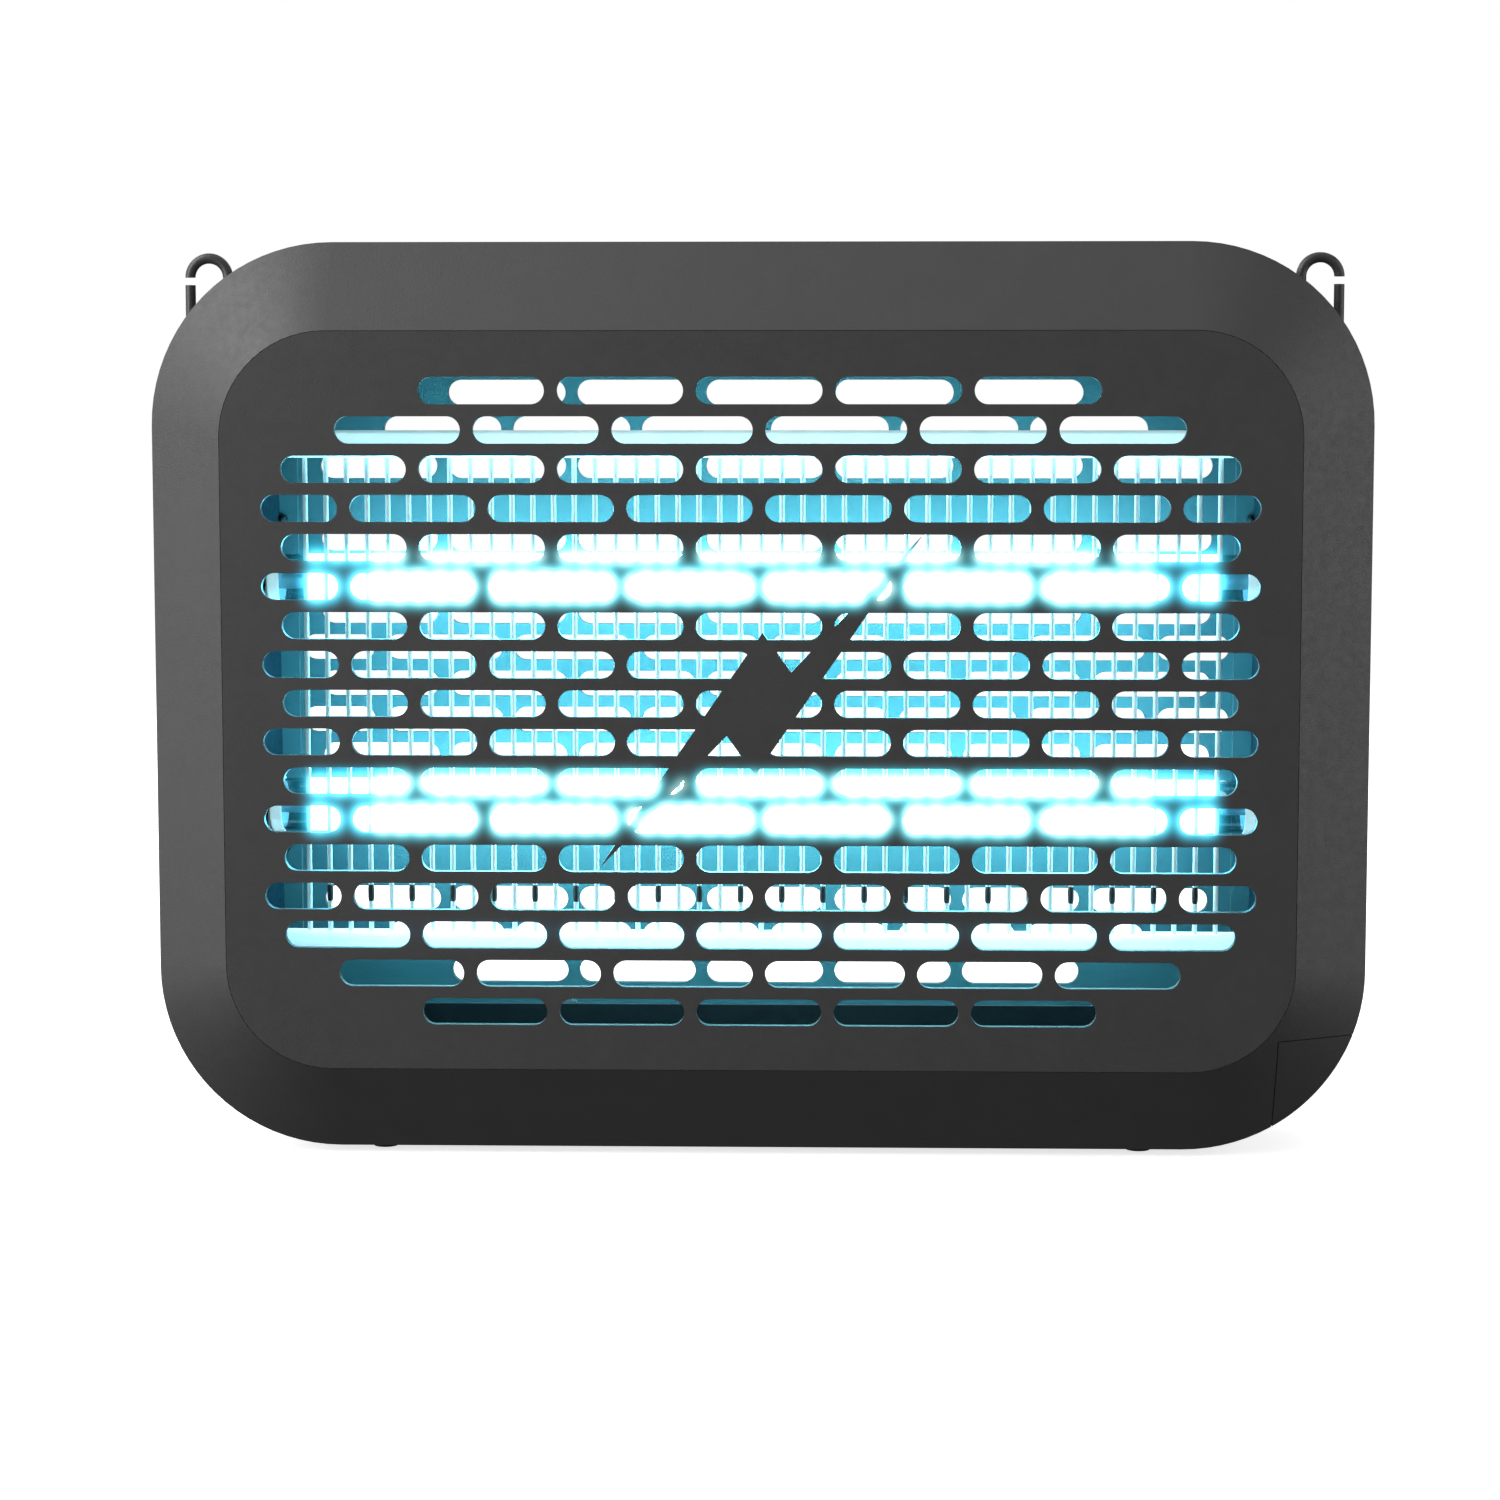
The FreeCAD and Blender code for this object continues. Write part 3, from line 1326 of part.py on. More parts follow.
def leads():
    """Mains leads in the right-hand end, cross leads over the top, and the grid's two feeds."""
    x = "fitting_x"
    edge = "(board_face + board_back) / 2"
    inlet_low = up("inlet_z - inlet_pin_offset")
    inlet_high = up("inlet_z + inlet_pin_offset")
    switch_low = up("switch_z - terminal_offset")
    switch_high = up("switch_z + terminal_offset")
    group("mains_leads", [
        lead("live_to_switch", [(x, "inlet_tail_y", inlet_high), (x, 8, inlet_high), (x, 8, switch_low),
                                (x, "terminal_y", switch_low)]),
        lead("switch_to_board", [(x, "terminal_y", switch_high), (x, 10, switch_high), (x, -2, up(-18)),
                                 (edge, -6, up(-15)), (edge, -6, up("ballast_low_z"))]),
        lead("neutral_to_board", [(x, "inlet_tail_y", inlet_low), (x, 4, inlet_low), (x, -16, up(-50)),
                                  (edge, -20, up(-18)), (edge, -20, up("ballast_low_z"))]),
    ])
    inner = "board_face - lead_clearance"
    cross = []
    for i, offset in enumerate((0, 4, 8)):
        y = 12 + offset
        top = up(98 + 2.6 * i)
        side = [("board_face", y, up(56)), (inner, y, up(56)), (inner, y + 2, top),
                ("frame_face - 4", 28, top)]
        other_side = [(f"-({a})", b, c) for a, b, c in reversed(side)]
        cross.append(lead("cross_lead", side + other_side))
    group("cross_leads", cross)
    feed_x = "-bus_half + feed_inset"
    group("grid_feeds", [
        lead("live_feed", [("-board_face", -20, up(56)), (f"-({inner})", -20, up(56)),
                           (f"-({inner})", -13, up(96)), ("-frame_face + 8", "grid_y", up(96)),
                           (feed_x, "grid_y", up(90)),
                           (feed_x, "grid_y", up("rail_high_z + bus_thickness"))]),
        lead("return_feed", [("-board_face", -20, up(-56)), (f"-({inner})", -20, up(-56)),
                             (f"-({inner})", "lead_hole_y", up("lead_hole_z + 2")),
                             ("-frame_face + 4", "lead_hole_y", up("lead_hole_z - 1")),
                             (feed_x, "grid_y", up("-rail_high_z - bus_thickness - 4")),
                             (feed_x, "grid_y", up("-rail_high_z - bus_thickness"))]),
    ])


# ---------------------------------------------------------------- assembly

def build():
    fill_sheet()
    envelope = housing_envelope()
    cavity = housing_cavity()
    channel = hook("hook_channel_right", "hook_clearance")
    other_channel = doc.addObject("Part::Mirroring", "hook_channel_left")
    other_channel.Source = channel
    other_channel.Normal = Vector(1, 0, 0)
    channels = doc.addObject("Part::Compound", "hook_channels")
    channels.Links = [channel, other_channel]
    front_bezel(envelope, cavity, channels)
    back_shell(envelope, cavity, channels)
    front_grille()
    back_grille()
    housing_screws()
    for row, y in (("front", "front_foot_y"), ("back", "back_foot_y")):
        for side, sign in (("left", -1), ("right", 1)):
            foot(f"foot_{row}_{side}", f"{sign} * foot_x", y)
    right_hook = hook("hanging_hook_right", 0)
    keep(right_hook, "hanging_hook_right")
    mirrored("hanging_hook_left", right_hook)
    tray(envelope, cavity)
    end_frames()
    lamp("upper", 1)
    lamp("lower", -1)
    wire_grid()
    boards()
    power_inlet()
    power_switch()
    leads()
    doc.recompute()


def export():
    for thing in doc.Objects:
        if "Invalid" in thing.State or "Error" in thing.State:
            raise RuntimeError(f"{thing.Label} failed: {thing.State}")
    for piece in pieces:
        if piece.Shape.isNull() or not piece.Shape.isValid() or not piece.Shape.Solids:
            raise RuntimeError(f"{piece.Label} has no valid solid")
    os.makedirs("parts", exist_ok=True)
    for piece in pieces:
        piece.Shape.exportStep(f"parts/{piece.Label}.step")
        print(f"{piece.Label}: {len(piece.Shape.Solids)} solids, {piece.Shape.Volume / 1000:.2f} cm3")


build()
export()
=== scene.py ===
"""Looks for the electric bug zapper: materials, lit lamps, wire sleeves, screws, rocker marks,
lights, floor, camera and lens glow."""
import json
import math

import bmesh
import bpy
from mathutils import Matrix, Vector

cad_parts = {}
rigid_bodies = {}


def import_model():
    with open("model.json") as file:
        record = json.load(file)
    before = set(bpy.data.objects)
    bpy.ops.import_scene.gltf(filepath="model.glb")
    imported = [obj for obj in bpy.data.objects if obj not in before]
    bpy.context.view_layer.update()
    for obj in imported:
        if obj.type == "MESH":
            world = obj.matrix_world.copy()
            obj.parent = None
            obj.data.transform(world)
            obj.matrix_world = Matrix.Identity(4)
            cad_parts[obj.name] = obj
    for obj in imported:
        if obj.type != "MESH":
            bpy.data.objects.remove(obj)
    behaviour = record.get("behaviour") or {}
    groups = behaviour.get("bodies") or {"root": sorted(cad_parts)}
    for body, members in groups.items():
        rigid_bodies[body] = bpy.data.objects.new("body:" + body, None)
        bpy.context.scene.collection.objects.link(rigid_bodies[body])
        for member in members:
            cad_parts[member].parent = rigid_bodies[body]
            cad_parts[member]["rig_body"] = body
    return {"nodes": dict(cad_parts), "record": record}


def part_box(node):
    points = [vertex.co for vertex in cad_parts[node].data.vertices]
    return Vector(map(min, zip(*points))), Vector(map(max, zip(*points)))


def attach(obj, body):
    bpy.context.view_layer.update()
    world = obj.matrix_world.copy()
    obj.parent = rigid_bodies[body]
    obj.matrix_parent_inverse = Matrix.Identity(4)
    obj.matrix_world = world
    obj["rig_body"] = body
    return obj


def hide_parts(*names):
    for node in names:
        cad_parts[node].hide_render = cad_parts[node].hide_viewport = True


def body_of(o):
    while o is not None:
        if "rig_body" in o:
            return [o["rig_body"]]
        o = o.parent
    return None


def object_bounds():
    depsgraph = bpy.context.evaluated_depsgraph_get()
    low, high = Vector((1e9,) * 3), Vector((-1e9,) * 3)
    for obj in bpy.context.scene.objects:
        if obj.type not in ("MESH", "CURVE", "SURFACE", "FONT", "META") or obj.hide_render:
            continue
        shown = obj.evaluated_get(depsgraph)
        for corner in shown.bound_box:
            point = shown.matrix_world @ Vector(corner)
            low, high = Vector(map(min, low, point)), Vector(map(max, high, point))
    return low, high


def plain_bounds():
    return [[float(v) for v in corner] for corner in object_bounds()]


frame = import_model()
cad_box = plain_bounds()
nodes = frame["nodes"]
body_of_node = {node: body_of(thing)[0] for node, thing in nodes.items()}
slot_of_node = {part["node"]: part["material_slot"] for part in frame["record"]["subparts"]}


# ---------------------------------------------------------------- materials

class Shader:
    """A Principled material with helpers for the procedural detail that feeds it."""

    def __init__(self, name, colour, roughness, **inputs):
        self.material = bpy.data.materials.new(name)
        self.material.use_nodes = True
        self.tree = self.material.node_tree
        self.surface = self.tree.nodes["Principled BSDF"]
        self.set("Base Color", (*colour, 1.0))
        self.set("Roughness", roughness)
        for socket, amount in inputs.items():
            self.set(socket.replace("_", " "), amount)
        self.colour = colour
        self.roughness = roughness
        self.coordinates = self.tree.nodes.new("ShaderNodeTexCoord").outputs["Object"]
        self.height = None

    def set(self, socket, amount):
        self.surface.inputs[socket].default_value = amount

    def link(self, source, target):
        self.tree.links.new(source, target)

    def mapped(self, stretch):
        node = self.tree.nodes.new("ShaderNodeMapping")
        node.inputs["Scale"].default_value = stretch
        self.link(self.coordinates, node.inputs["Vector"])
        return node.outputs["Vector"]

    def noise(self, scale, detail=3.0, stretch=None):
        node = self.tree.nodes.new("ShaderNodeTexNoise")
        node.inputs["Scale"].default_value = scale
        node.inputs["Detail"].default_value = detail
        self.link(self.mapped(stretch) if stretch else self.coordinates, node.inputs["Vector"])
        return node.outputs["Fac"]

    def ranged(self, value, low, high, start=0.3, end=0.7):
        node = self.tree.nodes.new("ShaderNodeMapRange")
        node.inputs["From Min"].default_value = start
        node.inputs["From Max"].default_value = end
        node.inputs["To Min"].default_value = low
        node.inputs["To Max"].default_value = high
        self.link(value, node.inputs["Value"])
        return node.outputs["Result"]

    def tint(self, value, darker, lighter):
        """Vary the base colour between two multiples of itself."""
        node = self.tree.nodes.new("ShaderNodeMix")
        node.data_type = "RGBA"
        node.inputs[6].default_value = (*[c * darker for c in self.colour], 1.0)
        node.inputs[7].default_value = (*[min(1.0, c * lighter) for c in self.colour], 1.0)
        self.link(self.ranged(value, 0.0, 1.0), node.inputs[0])
        self.link(node.outputs[2], self.surface.inputs["Base Color"])
        return self

    def polish(self, value, spread):
        """Vary the roughness by spread each way."""
        low = max(0.02, self.roughness - spread)
        self.link(self.ranged(value, low, self.roughness + spread), self.surface.inputs["Roughness"])
        return self

    def bump(self, value, depth, strength=1.0):
        """Add a height in metres, chained on whatever bump is there."""
        node = self.tree.nodes.new("ShaderNodeBump")
        node.inputs["Strength"].default_value = strength
        node.inputs["Distance"].default_value = depth
        self.link(value, node.inputs["Height"])
        if self.height is not None:
            self.link(self.height, node.inputs["Normal"])
        self.height = node.outputs["Normal"]
        self.link(self.height, self.surface.inputs["Normal"])
        return self


def moulded_shader(name, colour, roughness, grain=2600.0, depth=0.00006, **inputs):
    """Moulded plastic: fine spark-eroded grain, slight cloudiness and uneven gloss."""
    shader = Shader(name, colour, roughness, **inputs)
    shader.tint(shader.noise(90.0, 5.0), 0.96, 1.035)
    shader.polish(shader.noise(420.0, 3.0), 0.05)
    shader.bump(shader.noise(grain, 2.0), depth)
    return shader


def moulded(*description, **inputs):
    return moulded_shader(*description, **inputs).material


INSIDE_BLEND = 0.0005


def moulded_with_painted_inner_shade(name, colour, inside, start, **inputs):
    """Moulded plastic with painted shade: a darker colour on faces that look forwards, further back
    than start.
    """
    shader = moulded_shader(name, colour, 0.5, **inputs)
    outside = shader.surface.inputs["Base Color"].links[0].from_socket
    coordinates = shader.tree.nodes.new("ShaderNodeTexCoord")
    facing = shader.tree.nodes.new("ShaderNodeSeparateXYZ")
    shader.link(coordinates.outputs["Normal"], facing.inputs[0])
    forward = shader.ranged(facing.outputs["Y"], 1.0, 0.0, -0.6, -0.4)
    place = shader.tree.nodes.new("ShaderNodeSeparateXYZ")
    shader.link(coordinates.outputs["Object"], place.inputs[0])
    behind = shader.ranged(place.outputs["Y"], 0.0, 1.0, start, start + INSIDE_BLEND)
    painted_shade_mask = shader.tree.nodes.new("ShaderNodeMath")
    painted_shade_mask.operation = "MULTIPLY"
    shader.link(forward, painted_shade_mask.inputs[0])
    shader.link(behind, painted_shade_mask.inputs[1])
    blend = shader.tree.nodes.new("ShaderNodeMix")
    blend.data_type = "RGBA"
    blend.inputs[7].default_value = (*inside, 1.0)
    shader.link(painted_shade_mask.outputs[0], blend.inputs[0])
    shader.link(outside, blend.inputs[6])
    shader.link(blend.outputs[2], shader.surface.inputs["Base Color"])
    return shader.material


def drawn_metal(name, colour, roughness, stretch, depth=0.00003, **inputs):
    """Drawn or turned metal: fine lines along one axis and cloudy polish."""
    shader = Shader(name, colour, roughness, **{"Metallic": 1.0, **inputs})
    shader.tint(shader.noise(120.0, 4.0), 0.82, 1.1)
    shader.polish(shader.noise(600.0, 3.0, stretch), 0.1)
    shader.bump(shader.noise(2400.0, 2.0, stretch), depth)
    return shader.material


# Pale parts are given a painted glow, a little light of their own, so that they look as bright as in
# the photograph.
PAINTED_GLOW_TINT = (0.6, 0.95, 1.0)
PALE_GLOW = 0.55
WIRE_GLOW = 0.22


def translucent(name, colour, roughness, reach):
    """Natural plastic that lets light through to about that depth in metres, with a painted glow of its
    own.
    """
    shader = Shader(name, colour, roughness, Subsurface_Weight=1.0, Subsurface_Scale=reach)
    shader.set("Emission Color", (*PAINTED_GLOW_TINT, 1.0))
    shader.set("Emission Strength", PALE_GLOW)
    shader.set("Subsurface Radius", (0.8, 1.0, 1.0))
    shader.tint(shader.noise(60.0, 3.0), 0.94, 1.03)
    shader.polish(shader.noise(200.0), 0.06)
    shader.bump(shader.noise(1500.0, 2.0), 0.00004)
    return shader.material


ACROSS = (0.05, 1.0, 1.0)
UPRIGHT = (1.0, 1.0, 0.05)
EVEN = (1.0, 1.0, 1.0)
HOUSING_GREY = (0.052, 0.052, 0.0515)

materials = {
    "housing": moulded("housing_grey", HOUSING_GREY, 0.5),
    "inner_plastic": moulded("inner_plastic", (0.0035, 0.0135, 0.02), 0.6, Specular_IOR_Level=0.08),
    # The tray's inner faces that look forwards get a darker colour, painted shade.
    "tray_plastic": moulded_with_painted_inner_shade("tray_plastic", (0.016, 0.016, 0.017),
                                        (0.0025, 0.0025, 0.003), 0.02, Specular_IOR_Level=0.25),
    "rail_plastic": translucent("rail_plastic", (0.9, 0.92, 0.93), 0.35, 0.008),
    "holder_plastic": moulded("holder_plastic", (0.03, 0.031, 0.034), 0.4),
    "black_plastic": moulded("black_plastic", (0.02, 0.02, 0.02), 0.36),
    "sleeve": moulded("wire_sleeve", (0.03, 0.03, 0.03), 0.6),
    "rubber": moulded("foot_rubber", (0.03, 0.03, 0.03), 0.78, 1800.0, 0.0001),
    "circuit_board": moulded("circuit_board", (0.05, 0.22, 0.09), 0.35, 1400.0, 0.00002),
    "ferrite": moulded("ferrite", (0.09, 0.085, 0.08), 0.7, 1800.0, 0.0001),
    "black_part": moulded("black_part", (0.02, 0.02, 0.022), 0.45),
    "capacitor": moulded("capacitor_dip", (0.45, 0.13, 0.06), 0.22, 700.0, 0.0001),
    "resistor": moulded("resistor_body", (0.72, 0.65, 0.5), 0.45, 900.0, 0.0001),
    "lead": moulded("lead_sheath", (0.75, 0.76, 0.78), 0.38, 900.0, 0.00003),
    "aluminium": drawn_metal("cap_aluminium", (0.88, 0.89, 0.9), 0.4, ACROSS, Metallic=0.35),
    "brass": drawn_metal("brass", (0.78, 0.62, 0.32), 0.3, ACROSS),
    # The grid wire has a painted glow: a little light of its own, in the painted glow tint.
    "steel_wire": drawn_metal("grid_wire", (0.9, 0.92, 0.93), 0.4, UPRIGHT, Metallic=0.0,
                              Emission_Color=(*PAINTED_GLOW_TINT, 1.0), Emission_Strength=WIRE_GLOW),
    "zinc_screw": drawn_metal("zinc_screw", (0.55, 0.55, 0.56), 0.35, EVEN),
    "tungsten": drawn_metal("tungsten", (0.35, 0.35, 0.36), 0.45, EVEN),
    "hook_steel": moulded("hook_paint", (0.045, 0.045, 0.048), 0.42, 1500.0, 0.00005),
    "black_screw": moulded("screw_black", (0.03, 0.03, 0.03), 0.38, 1500.0, 0.00003, Metallic=0.6),
}


def glass_material():
    shader = Shader("lamp_glass", (0.5, 0.68, 0.72), 0.03, IOR=1.5, Transmission_Weight=1.0)
    shader.polish(shader.noise(90.0, 3.0), 0.015)
    shader.bump(shader.noise(60.0, 2.0), 0.00005)
    return shader.material


def lit_material(name, glow, strength):
    """Phosphor coating behind the glass, slightly mottled, giving off blue-green light."""
    shader = Shader(name, (0.85, 0.93, 0.95), 0.2)
    shader.tint(shader.noise(220.0, 3.0), 0.92, 1.05)
    shader.polish(shader.noise(90.0), 0.04)
    shader.bump(shader.noise(70.0, 2.0), 0.00003)
    shader.set("Emission Color", (*glow, 1.0))
    shader.set("Emission Strength", strength)
    return shader.material


# The lamp caps get a painted glow, standing in for the lamps' light falling on them.
cap = materials["aluminium"].node_tree.nodes["Principled BSDF"]
cap.inputs["Emission Color"].default_value = (*PAINTED_GLOW_TINT, 1.0)
cap.inputs["Emission Strength"].default_value = PALE_GLOW
materials["tube_glass"] = glass_material()
# The back shell and back grille get a darker blue-green on inner faces that look forwards, painted
# shade of the inside.
materials["back_housing"] = moulded_with_painted_inner_shade(
    "back_housing_grey", HOUSING_GREY, (0.018, 0.044, 0.049), 0.03)
materials["tube_lit"] = lit_material("lamp_phosphor", (0.19, 0.8, 1.0), 43.0)
materials["tube_dim"] = lit_material("lamp_phosphor_end", (0.13, 0.68, 1.0), 30.0)

for node, thing in nodes.items():
    is_back = node in ("back_shell", "back_grille")
    coat = materials["back_housing" if is_back else slot_of_node[node]]
    if not thing.data.materials:
        thing.data.materials.append(coat)
    for i in range(len(thing.material_slots)):
        thing.material_slots[i].material = coat


# ---------------------------------------------------------------- mesh helpers

WELD = 1e-7
SMOOTH_ANGLE = math.radians(35)


def solids(node):
    """The vertex positions of each separate solid of a CAD node."""
    mesh = bmesh.new()
    mesh.from_mesh(nodes[node].data)
    bmesh.ops.remove_doubles(mesh, verts=mesh.verts, dist=1e-6)
    seen, found = set(), []
    for start in mesh.verts:
        if start in seen:
            continue
        stack, part = [start], []
        seen.add(start)
        while stack:
            vertex = stack.pop()
            part.append(vertex.co.copy())
            for edge in vertex.link_edges:
                other = edge.other_vert(vertex)
                if other not in seen:
                    seen.add(other)
                    stack.append(other)
        found.append(part)
    mesh.free()
    return found


def corners_of(points):
    """The lowest and highest corners of a list of points."""
    return [Vector([pick(p[i] for p in points) for i in range(3)]) for pick in (min, max)]


def finished(name, mesh, body, slot, *coats, smooth=True):
    """Turn a bmesh into a piece that rides on a body."""
    bmesh.ops.recalc_face_normals(mesh, faces=mesh.faces)
    data = bpy.data.meshes.new(name)
    mesh.to_mesh(data)
    mesh.free()
    for coat in coats:
        data.materials.append(coat)
    if smooth:
        data.shade_smooth()
        data.set_sharp_from_angle(angle=SMOOTH_ANGLE)
    piece = bpy.data.objects.new(name, data)
    bpy.context.scene.collection.objects.link(piece)
    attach(piece, body)
    return piece


def lathe(mesh, profile, matrix, segments, coat=lambda i: 0):
    """Spin a profile of (along, radius) round the X axis and place it by matrix.

    A radius of 0 closes an end, and coat gives the material index of each band."""
    rings = []
    angles = [2 * math.pi * k / segments for k in range(segments)]
    for along, radius in profile:
        if radius == 0:
            rings.append([mesh.verts.new(matrix @ Vector((along, 0, 0)))])
            continue
        spots = [Vector((along, radius * math.cos(a), radius * math.sin(a))) for a in angles]
        rings.append([mesh.verts.new(matrix @ spot) for spot in spots])
    for i, (first, second) in enumerate(zip(rings, rings[1:])):
        for k in range(segments):
            n = (k + 1) % segments
            corners = [first[k % len(first)], first[n % len(first)],
                       second[n % len(second)], second[k % len(second)]]
            face = mesh.faces.new(list(dict.fromkeys(corners)))
            face.material_index = coat(i)


# ---------------------------------------------------------------- lamps

LIT_HALF = 0.133
DIM_LENGTH = 0.02
GLASS_WALL = 0.0008
COATING_GAP = 0.0001
COATING_END = 0.7
LAMP_SEGMENTS = 64

for level in ("upper", "lower"):
    node = level + "_tube_glass"
    low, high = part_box(node)
    body = body_of_node[node]
    radius = (high.z - low.z) / 2
    middle = Matrix.Translation((low + high) / 2)
    half = (high.x - low.x) / 2
    full_end = LIT_HALF - DIM_LENGTH
    near_end = [(full_end / 2, radius), (full_end, radius), (LIT_HALF, radius),
                (LIT_HALF, radius * COATING_END), (LIT_HALF, 0)]
    far_end = [(-along, around) for along, around in reversed(near_end)]
    profile = far_end + [(0, radius)] + near_end
    dim_bands = (0, 1, 2, len(profile) - 4, len(profile) - 3, len(profile) - 2)
    mesh = bmesh.new()
    lathe(mesh, profile, middle, LAMP_SEGMENTS, lambda i: int(i in dim_bands))
    lit = finished(level + "_lamp_lit_tube", mesh, body, "tube_glass",
                   materials["tube_lit"], materials["tube_dim"])
    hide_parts(node)
    mesh = bmesh.new()
    inner = radius - GLASS_WALL
    for side in (-1, 1):
        start, end = side * (LIT_HALF + COATING_GAP), side * half
        wall = [(start, inner), (start, radius), (end, radius), (end, inner), (start, inner)]
        lathe(mesh, wall, middle, LAMP_SEGMENTS)
    bmesh.ops.remove_doubles(mesh, verts=mesh.verts, dist=WELD)
    finished(level + "_lamp_clear_ends", mesh, body, "tube_glass", materials["tube_glass"])


# ---------------------------------------------------------------- wire sleeves

SLEEVE_TAPER = 0.3
SLEEVE_SHOULDER = 0.96
SLEEVE_SEGMENTS = 20

mesh = bmesh.new()
for points in solids("wire_sleeves"):
    low, high = corners_of(points)
    middle = (low + high) / 2
    length = high.z - low.z
    radius = (high.x - low.x) / 2
    bore = min(math.hypot(p.x - middle.x, p.y - middle.y) for p in points)
    taper = length * SLEEVE_TAPER
    profile = [(0, bore), (taper / 2, radius * SLEEVE_SHOULDER), (taper, radius),
               (length - taper, radius), (length - taper / 2, radius * SLEEVE_SHOULDER),
               (length, bore), (0, bore)]
    foot = Matrix.Translation((middle.x, middle.y, low.z))
    lathe(mesh, profile, foot @ Matrix.Rotation(-math.pi / 2, 4, "Y"), SLEEVE_SEGMENTS)
bmesh.ops.remove_doubles(mesh, verts=mesh.verts, dist=WELD)
slot = slot_of_node["wire_sleeves"]
sleeves = finished("wire_sleeves_shrunk", mesh, body_of_node["wire_sleeves"], slot, materials[slot])
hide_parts("wire_sleeves")


# ---------------------------------------------------------------- screws

SCREW_SEGMENTS = 28
# Shares of the head's radius: the rim lies beyond the first, and the shank within the second.
RIM_FROM = 0.97
SHANK_BELOW = 0.9
THREAD_PITCH = 0.0011
THREAD_DEPTH = 0.12
THREAD_CREST = (0.35, 0.5)
# Shares of the head's height and radius, from the middle of its face to its underside.
HEAD_DOME = ((0, 0.6), (0.08, 0.8), (0.25, 0.94), (0.5, 1), (1, 1))
TIP_LENGTH = 0.6
TIP_SHOULDER = 0.8
TIP_POINT = 0.25
DRIVER_LENGTH = 0.62
DRIVER_WIDTH = 0.17
DRIVER_DEPTH = 0.62
DRIVER_TAPER = 0.55
FIRST_TURN = 0.7
TURN_STEP = 1.3


def screw_size(points):
    """Read one screw's solid: the middle of its head's face, the way it points, and its sizes."""
    low, high = corners_of(points)
    extent = high - low
    centre = (low + high) / 2
    axis = min(range(3), key=lambda i: abs(extent[(i + 1) % 3] - extent[(i + 2) % 3]))
    head_radius = extent[(axis + 1) % 3] / 2

    def away(p):
        offset = p - centre
        offset[axis] = 0
        return offset.length

    rim = [p[axis] for p in points if away(p) > head_radius * RIM_FROM]
    shank = [p for p in points if away(p) < head_radius * SHANK_BELOW and away(p) > 1e-5]
    outward = 1 if sum(rim) / len(rim) > centre[axis] else -1
    face = high[axis] if outward > 0 else low[axis]
    head = max(rim) - min(rim)
    place = centre.copy()
    place[axis] = face
    inward = Vector((0, 0, 0))
    inward[axis] = -outward
    return place, inward, head_radius, head, max(away(p) for p in shank), extent[axis]


def screw_template(head_radius, head, shank_radius, length):
    """A pan head with a cross recess, and a shank with rings for its thread, along +X from its face."""
    core = shank_radius * (1 - THREAD_DEPTH)
    profile = [(0, 0)]
    profile += [(head * along, head_radius * around) for along, around in HEAD_DOME]
    profile += [(head, core)]
    along = head
    while along + THREAD_PITCH < length - shank_radius:
        profile += [(along + THREAD_PITCH * share, shank_radius) for share in THREAD_CREST]
        along += THREAD_PITCH
        profile += [(along, core)]
    profile += [(length - shank_radius * TIP_LENGTH, shank_radius * TIP_SHOULDER),
                (length, shank_radius * TIP_POINT), (length, 0)]
    mesh = bmesh.new()
    lathe(mesh, profile, Matrix(), SCREW_SEGMENTS)
    bmesh.ops.recalc_face_normals(mesh, faces=mesh.faces)
    solid = bpy.data.meshes.new("screw_blank")
    mesh.to_mesh(solid)
    mesh.free()

    mesh = bmesh.new()
    depth = head * DRIVER_DEPTH
    for long, wide in ((DRIVER_LENGTH, DRIVER_WIDTH), (DRIVER_WIDTH, DRIVER_LENGTH)):
        made = bmesh.ops.create_cube(mesh, size=2.0)["verts"]
        for vertex in made:
            inner = vertex.co.x > 0
            taper = DRIVER_TAPER if inner else 1.0
            vertex.co = Vector((depth if inner else -depth, vertex.co.y * head_radius * long * taper,
                                vertex.co.z * head_radius * wide * taper))
    bmesh.ops.recalc_face_normals(mesh, faces=mesh.faces)
    recess = bpy.data.meshes.new("screw_recess")
    mesh.to_mesh(recess)
    mesh.free()

    blank = bpy.data.objects.new("screw_blank", solid)
    tool = bpy.data.objects.new("screw_recess", recess)
    for thing in (blank, tool):
        bpy.context.scene.collection.objects.link(thing)
    carve = blank.modifiers.new("recess", "BOOLEAN")
    carve.operation = "DIFFERENCE"
    carve.solver = "EXACT"
    carve.use_self = True
    carve.object = tool
    bpy.context.view_layer.update()
    carved_blank = blank.evaluated_get(bpy.context.evaluated_depsgraph_get())
    carved = bpy.data.meshes.new_from_object(carved_blank)
    for thing in (blank, tool):
        bpy.data.objects.remove(thing)
    return carved


templates = {}
for node in ("cover_screws", "back_grille_screws", "front_grille_screws", "tray_screws", "frame_screws",
             "rail_screws", "board_screws"):
    mesh = bmesh.new()
    for k, points in enumerate(solids(node)):
        place, inward, head_radius, head, shank_radius, length = screw_size(points)
        key = tuple(round(v, 5) for v in (head_radius, head, shank_radius, length))
        if key not in templates:
            templates[key] = screw_template(head_radius, head, shank_radius, length)
        spin = Matrix.Rotation(FIRST_TURN + TURN_STEP * k, 4, "X")
        turn = inward.to_track_quat("X", "Z").to_matrix().to_4x4()
        copy = templates[key].copy()
        copy.transform(Matrix.Translation(place) @ turn @ spin)
        mesh.from_mesh(copy)
    slot = slot_of_node[node]
    piece = finished(node + "_detailed", mesh, body_of_node[node], slot, materials[slot])
    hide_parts(node)


# ---------------------------------------------------------------- rocker marks

